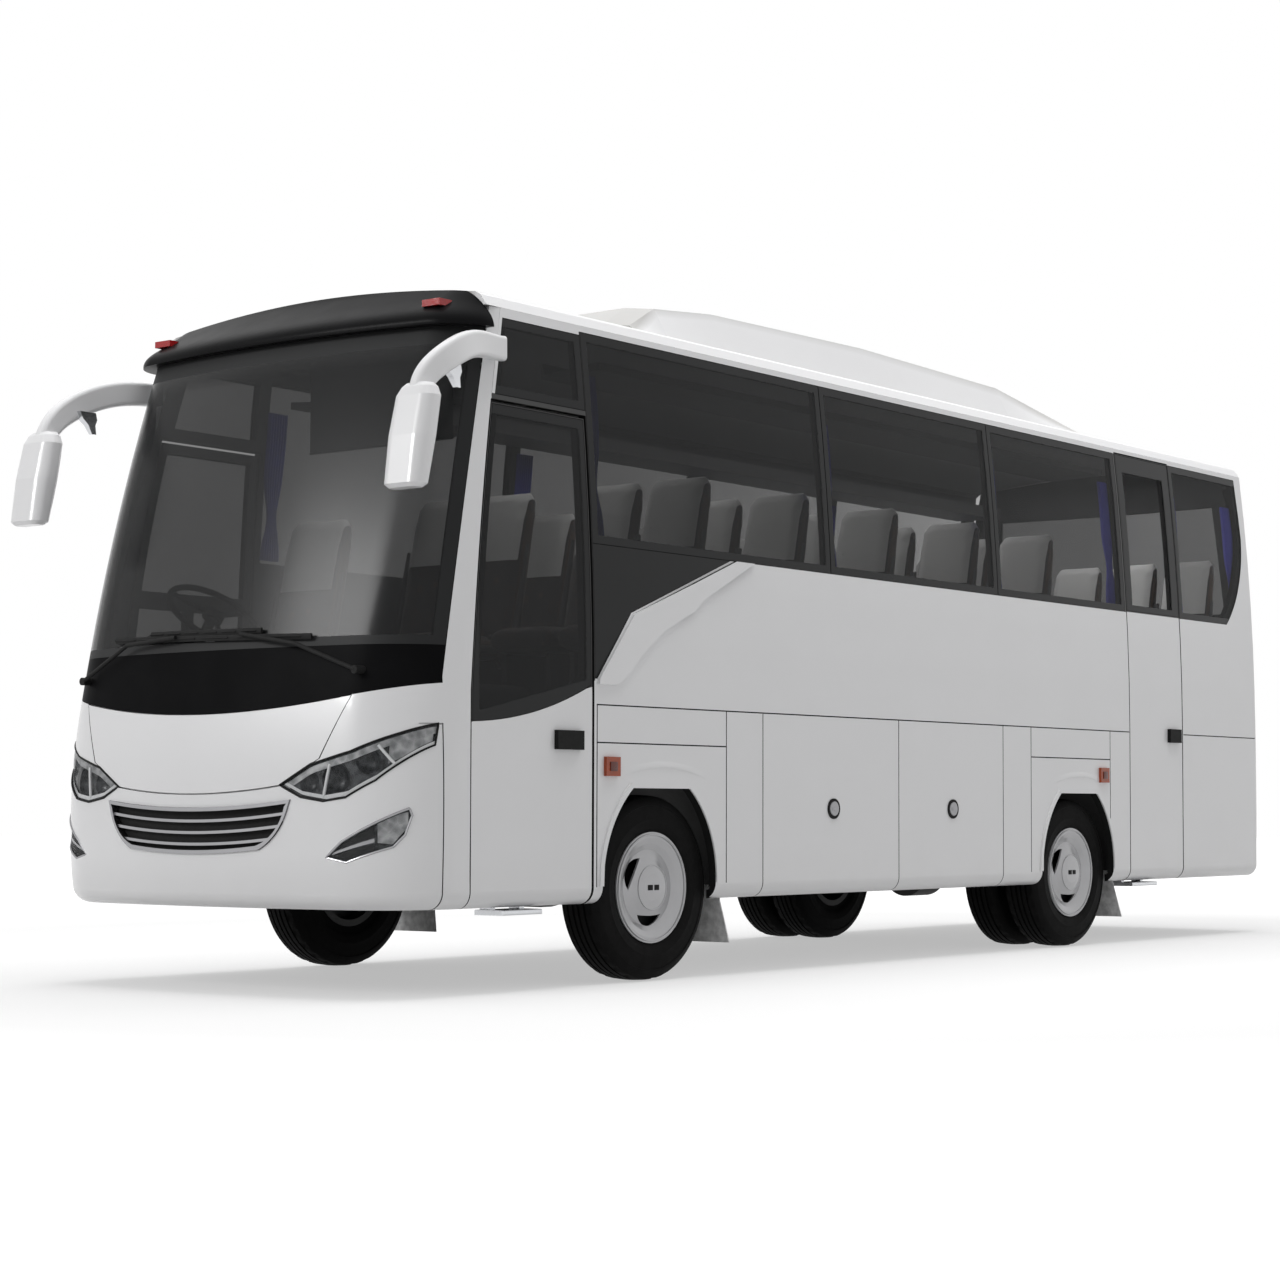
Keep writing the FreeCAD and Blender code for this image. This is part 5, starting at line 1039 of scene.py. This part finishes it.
def arch_lips():
    """Shallow brow pressed over each wheel arch."""
    for place, y, sign in WHEELS:
        rings = []
        for share in shares(25):
            rise = math.sin(math.pi * share)
            z = 0.905 + 0.050 * rise ** 0.8
            out = 0.0002 + 0.0045 * rise
            rings.append([at(sign * (HALF + d), y - 0.30 + 0.62 * share, z + h)
                          for d, h in ((0.0, 0.022), (out, 0.002), (out * 0.8, -0.004), (0.0, -0.008))])
        bm = bmesh.new()
        add_loft(bm, rings)
        piece(f"arch_lip_{place}", bm, WHITE)


def marker_pads():
    """Darker raised pad in the middle of each side marker."""
    x = HALF + 0.0163
    for side, sign in SIDES:
        bm = bmesh.new()
        for y, z in ((-0.356, 0.950), (4.027, 0.962)):
            outer = at(sign * (x + 0.004), y + 0.024, z + 0.020)
            add_block(bm, at(sign * x, y - 0.024, z - 0.020), outer, 0.0015)
        piece(f"marker_pads_{side}", bm, AMBER_DARK)


def latch_cups():
    """Bright cup in each round luggage latch."""
    profile = [(0.0, 0.036), (0.0030, 0.035), (0.0042, 0.030), (0.0020, 0.026), (0.0012, 0.012),
               (0.0040, 0.009), (0.0044, 0.002)]
    for place in ("front", "rear"):
        for side, sign in SIDES:
            name = f"luggage_door_{place}_{side}"
            points = [v.co for v in nodes[name].data.vertices if abs(v.co.x) > HALF + 0.004]
            middle = sum(points, Vector()) / len(points)
            face, _ = hit(surface(name), (sign * 1.3, middle.y, middle.z), -ACROSS * sign)
            bm = bmesh.new()
            add_lathe(bm, profile, face, ACROSS * sign, 32)
            piece(f"latch_cup_{place}_{side}", bm, GRILLE_SILVER, name)


def rear_plate():
    """Blank number plate on the boot lid."""
    middle, _ = hit(surface("boot_lid"), at(0, 8.0, 0.93), -ALONG)
    bm = bmesh.new()
    add_block(bm, (-0.27, middle.y + 0.0005, 0.865), (0.27, middle.y + 0.012, 0.995), 0.005)
    piece("rear_plate", bm, PLATE, "boot_lid")


def tail_lamp_rings():
    """Round lenses and their bright rims in the tail lamps."""
    tree = surface("red_lamps")
    profile = [(-0.004, 0.050), (0.002, 0.049), (0.007, 0.036), (0.009, 0.012)]
    rim = 0.054
    for side, sign in SIDES:
        rims, ambers, whites = bmesh.new(), bmesh.new(), bmesh.new()
        for z, lens in ((0.785, whites), (0.925, None), (1.065, ambers)):
            place, normal = hit(tree, at(sign * 0.90, 8.0, z), -ALONG)
            way = normal.normalized()
            first = way.cross(UP).normalized()
            ring = circle(place + way * 0.003, first * rim, way.cross(first) * rim, 40)
            add_tube(rims, ring, 0.0035, 8, closed=True)
            if lens:
                add_lathe(lens, profile, place, way, 40)
        piece(f"tail_rims_{side}", rims, CHROME)
        piece(f"tail_amber_{side}", ambers, AMBER)
        piece(f"tail_white_{side}", whites, CLEAR_WHITE)


HEADLAMP = [(0.497, 0.860), (0.605, 0.812), (0.720, 0.795), (0.824, 0.810), (0.933, 0.878), (1.003, 0.948),
            (1.074, 1.022), (1.076, 1.109), (0.996, 1.069), (0.833, 0.995), (0.649, 0.944)]
FOG_LAMP = [(0.735, 0.568), (0.806, 0.630), (0.926, 0.702), (1.031, 0.766), (1.037, 0.738), (1.021, 0.660),
            (0.990, 0.612), (0.828, 0.549)]


def shifted(line, dx, dz):
    return [(x + dx, z + dz) for x, z in line]


def lamp_details():
    """Frames, dividers, pale bands and dark slots behind the lenses of the headlamps and fog lamps."""
    brow = HEADLAMP[:1] + HEADLAMP[:6:-1]
    sill = HEADLAMP[:7]
    # each with its bands (foot, top, depth) and its tubes (line, depth, radius, closed)
    parts = (
        ("headlamp_seal", SEAL, "trim_black", (), ((HEADLAMP, -0.0004, 0.0042, True),)),
        ("headlamp_frame", CLEAR_WHITE, "lens_clear",
         ((shifted(sill, 0.010, 0.008), shifted(sill, 0.004, 0.024), 0.0062),),
         (([(0.716, 0.815), (0.738, 0.945)], 0.0080, 0.0065, False),
          ([(0.985, 0.945), (0.930, 1.020)], 0.0080, 0.0065, False))),
        ("lamp_pale", LAMP_PALE, "lens_clear",
         ((shifted(brow, 0.0, -0.038), shifted(brow, 0.0, -0.009), 0.0065),
          ([(0.965, 0.945), (1.003, 0.972), (1.066, 1.038)], [(0.965, 1.020), (1.066, 1.066)], 0.0090),
          ([(0.940, 0.628), (0.985, 0.622), (1.025, 0.690)], [(0.940, 0.715), (1.025, 0.752)], 0.0070)), ()),
        ("fog_slots", SEAL, "trim_black",
         (([(0.748, 0.588), (0.930, 0.650)], [(0.748, 0.592), (0.815, 0.628), (0.930, 0.694)], 0.0070),
          ([(0.765, 0.568), (0.828, 0.560), (0.930, 0.594)], [(0.765, 0.575), (0.930, 0.624)], 0.0070)), ()),
        ("fog_strip", GRILLE_SILVER, "grille_chrome",
         (([(0.755, 0.577), (0.930, 0.630)], [(0.755, 0.585), (0.930, 0.646)], 0.0058),),
         ((FOG_LAMP, -0.0002, 0.0050, True),)))
    for side, sign in SIDES:
        for name, material, slot, bands, tubes in parts:
            bm = bmesh.new()
            for foot, top, depth in bands:
                add_front_band(bm, sign, foot, top, depth)
            for line, depth, radius, closed in tubes:
                add_tube(bm, front_line(sign, line, depth, closed), radius, 8, closed)
            piece(f"{name}_{side}", bm, material)


def roof_details():
    """Fan rings and slats on the air unit, and ribs on the roof hatch."""
    unit, hatch = surface("roof_ac_unit"), surface("roof_hatch")
    wells, guards, ribs = bmesh.new(), bmesh.new(), bmesh.new()
    reach = 0.21
    for y in (1.20, 1.90, 2.60, 3.30):
        place, normal = hit(unit, at(0.0, y, 5.0), -UP)
        add_lathe(wells, [(-0.002, 0.205), (0.003, 0.205), (0.003, 0.001)], place, normal, 48)
        for radius in (reach, 0.165, 0.12, 0.075, 0.03):
            ring = circle(place + UP * 0.007, ACROSS * radius, ALONG * radius, 48)
            add_tube(guards, ring, 0.008 if radius == reach else 0.0035, 6, closed=True)
        for angle in (math.pi * k / 4 for k in range(4)):
            arm = Vector((math.cos(angle), math.sin(angle), 0)) * reach
            add_tube(guards, [place - arm + UP * 0.009, place + arm + UP * 0.009], 0.003, 6)
    for k in range(5):
        ends = [hit(hatch, at(-0.28 + 0.14 * k, y, 5.0), -UP)[0] + UP * 0.001 for y in (5.40, 5.86)]
        add_tube(ribs, ends, 0.006, 8)
    piece("roof_fan_wells", wells, SEAL)
    piece("roof_fan_guards", guards, STEEL_GREY)
    piece("roof_hatch_ribs", ribs, BLACK_GLOSS)


# Light, floor and camera

def camera():
    """The photograph's view; focal length and centre are in pixels of the picture."""
    focal, centre_x, centre_y, picture = 2625.6, 780.611, 688.965, 1280.0
    sensor, distance = 36.0, 13.833
    azimuth, elevation = math.radians(36.035), math.radians(-2.7)
    back = Vector((math.sin(azimuth) * math.cos(elevation), -math.cos(azimuth) * math.cos(elevation),
                   math.sin(elevation)))
    data = bpy.data.cameras.new("camera")
    data.sensor_width = sensor
    data.lens = focal / picture * sensor
    data.shift_x = -(centre_x - picture / 2) / picture
    data.shift_y = (centre_y - picture / 2) / picture
    data.clip_end = 200.0
    made = placed("camera", data)
    made.location = at(0.3, 2.0, 1.4) + back * distance
    made.rotation_mode = "QUATERNION"
    made.rotation_quaternion = (-back).to_track_quat("-Z", "Y")
    scene.camera = made


def world(ambient):
    """White surroundings, dimmer as a light than to the eye."""
    made = bpy.data.worlds.new("studio")
    made.use_nodes = True
    w = Wiring(made.node_tree)
    background = w.tree.nodes["Background"].inputs
    w.feed(background["Color"], (1, 1, 1, 1))
    w.feed(background["Strength"], w.mapped(w.seen_directly(), 0.0, 1.0, ambient, 1.0))
    scene.world = made


def floor():
    """Pale ground that takes a soft shadow and fades into the white background."""
    bm = bmesh.new()
    bmesh.ops.create_grid(bm, x_segments=8, y_segments=8, size=60.0)
    made = placed("floor", mesh_of("floor", bm, outward=False))
    made.location.z = -0.002
    material = bpy.data.materials.new("floor_pale")
    material.use_nodes = True
    made.data.materials.append(material)
    w = Wiring(material.node_tree)
    w.tree.nodes.remove(w.tree.nodes["Principled BSDF"])
    bounced = w.node("ShaderNodeBsdfDiffuse", Color=(0.60, 0.60, 0.60, 1))
    shadowed = w.node("ShaderNodeBsdfDiffuse", Color=(0.50, 0.50, 0.50, 1))
    reach = w.spaced("ShaderNodeVectorMath")
    reach.operation = "LENGTH"
    glow = w.node("ShaderNodeEmission", Strength=w.mapped(reach.outputs["Value"], 5.5, 13.0, 0.47, 1.0))
    seen = w.node("ShaderNodeAddShader")
    mixed = w.node("ShaderNodeMixShader", Fac=w.seen_directly())
    output = w.tree.nodes["Material Output"]
    for socket, source in ((seen.inputs[0], shadowed), (seen.inputs[1], glow), (mixed.inputs[1], bounced),
                           (mixed.inputs[2], seen), (output.inputs["Surface"], mixed)):
        w.feed(socket, source.outputs[0])


def area_light(name, place, target, size, power, glossy=True, diffuse=True):
    data = bpy.data.lights.new(name, "AREA")
    data.shape = "RECTANGLE"
    data.size, data.size_y = size
    data.energy = power
    made = placed(name, data)
    made.location = place
    made.rotation_euler = (Vector(target) - Vector(place)).to_track_quat("-Z", "Y").to_euler()
    made.visible_camera = False
    made.visible_glossy = glossy
    made.visible_diffuse = diffuse


def lights():
    area_light("key", at(-3.0, -13.0, 7.5), at(0, -1, 1.4), (5.0, 5.0), 445.0, glossy=False)
    area_light("screen_glow", at(-4.4, -11.6, 6.6), at(0.5, -1.5, 1.7), (6.5, 2.6), 1000.0, diffuse=False)
    area_light("top", (0.0, 0.5, 11.0), (0, 0, 0), (10.0, 12.0), 1200.0, glossy=False)
    for side in (1, -1):
        area_light("side", (13.0 * side, 1.0, 4.5), (0, 0, 1.4), (6.0, 4.0), 8.0, glossy=False)
    area_light("cabin", at(0.0, 2.5, 2.90), at(0.0, 2.5, 1.0), (1.1, 6.6), 46.0, glossy=False)


dress_solids()
tyres()
wheel_details()
seats()
curtains()
sun_blind()
arch_lips()
marker_pads()
latch_cups()
mirror_parts()
wiper_blades()
rear_plate()
tail_lamp_rings()
lamp_details()
roof_details()
camera()
world(ambient=0.42)
floor()
lights()

scene.view_settings.view_transform = "Standard"
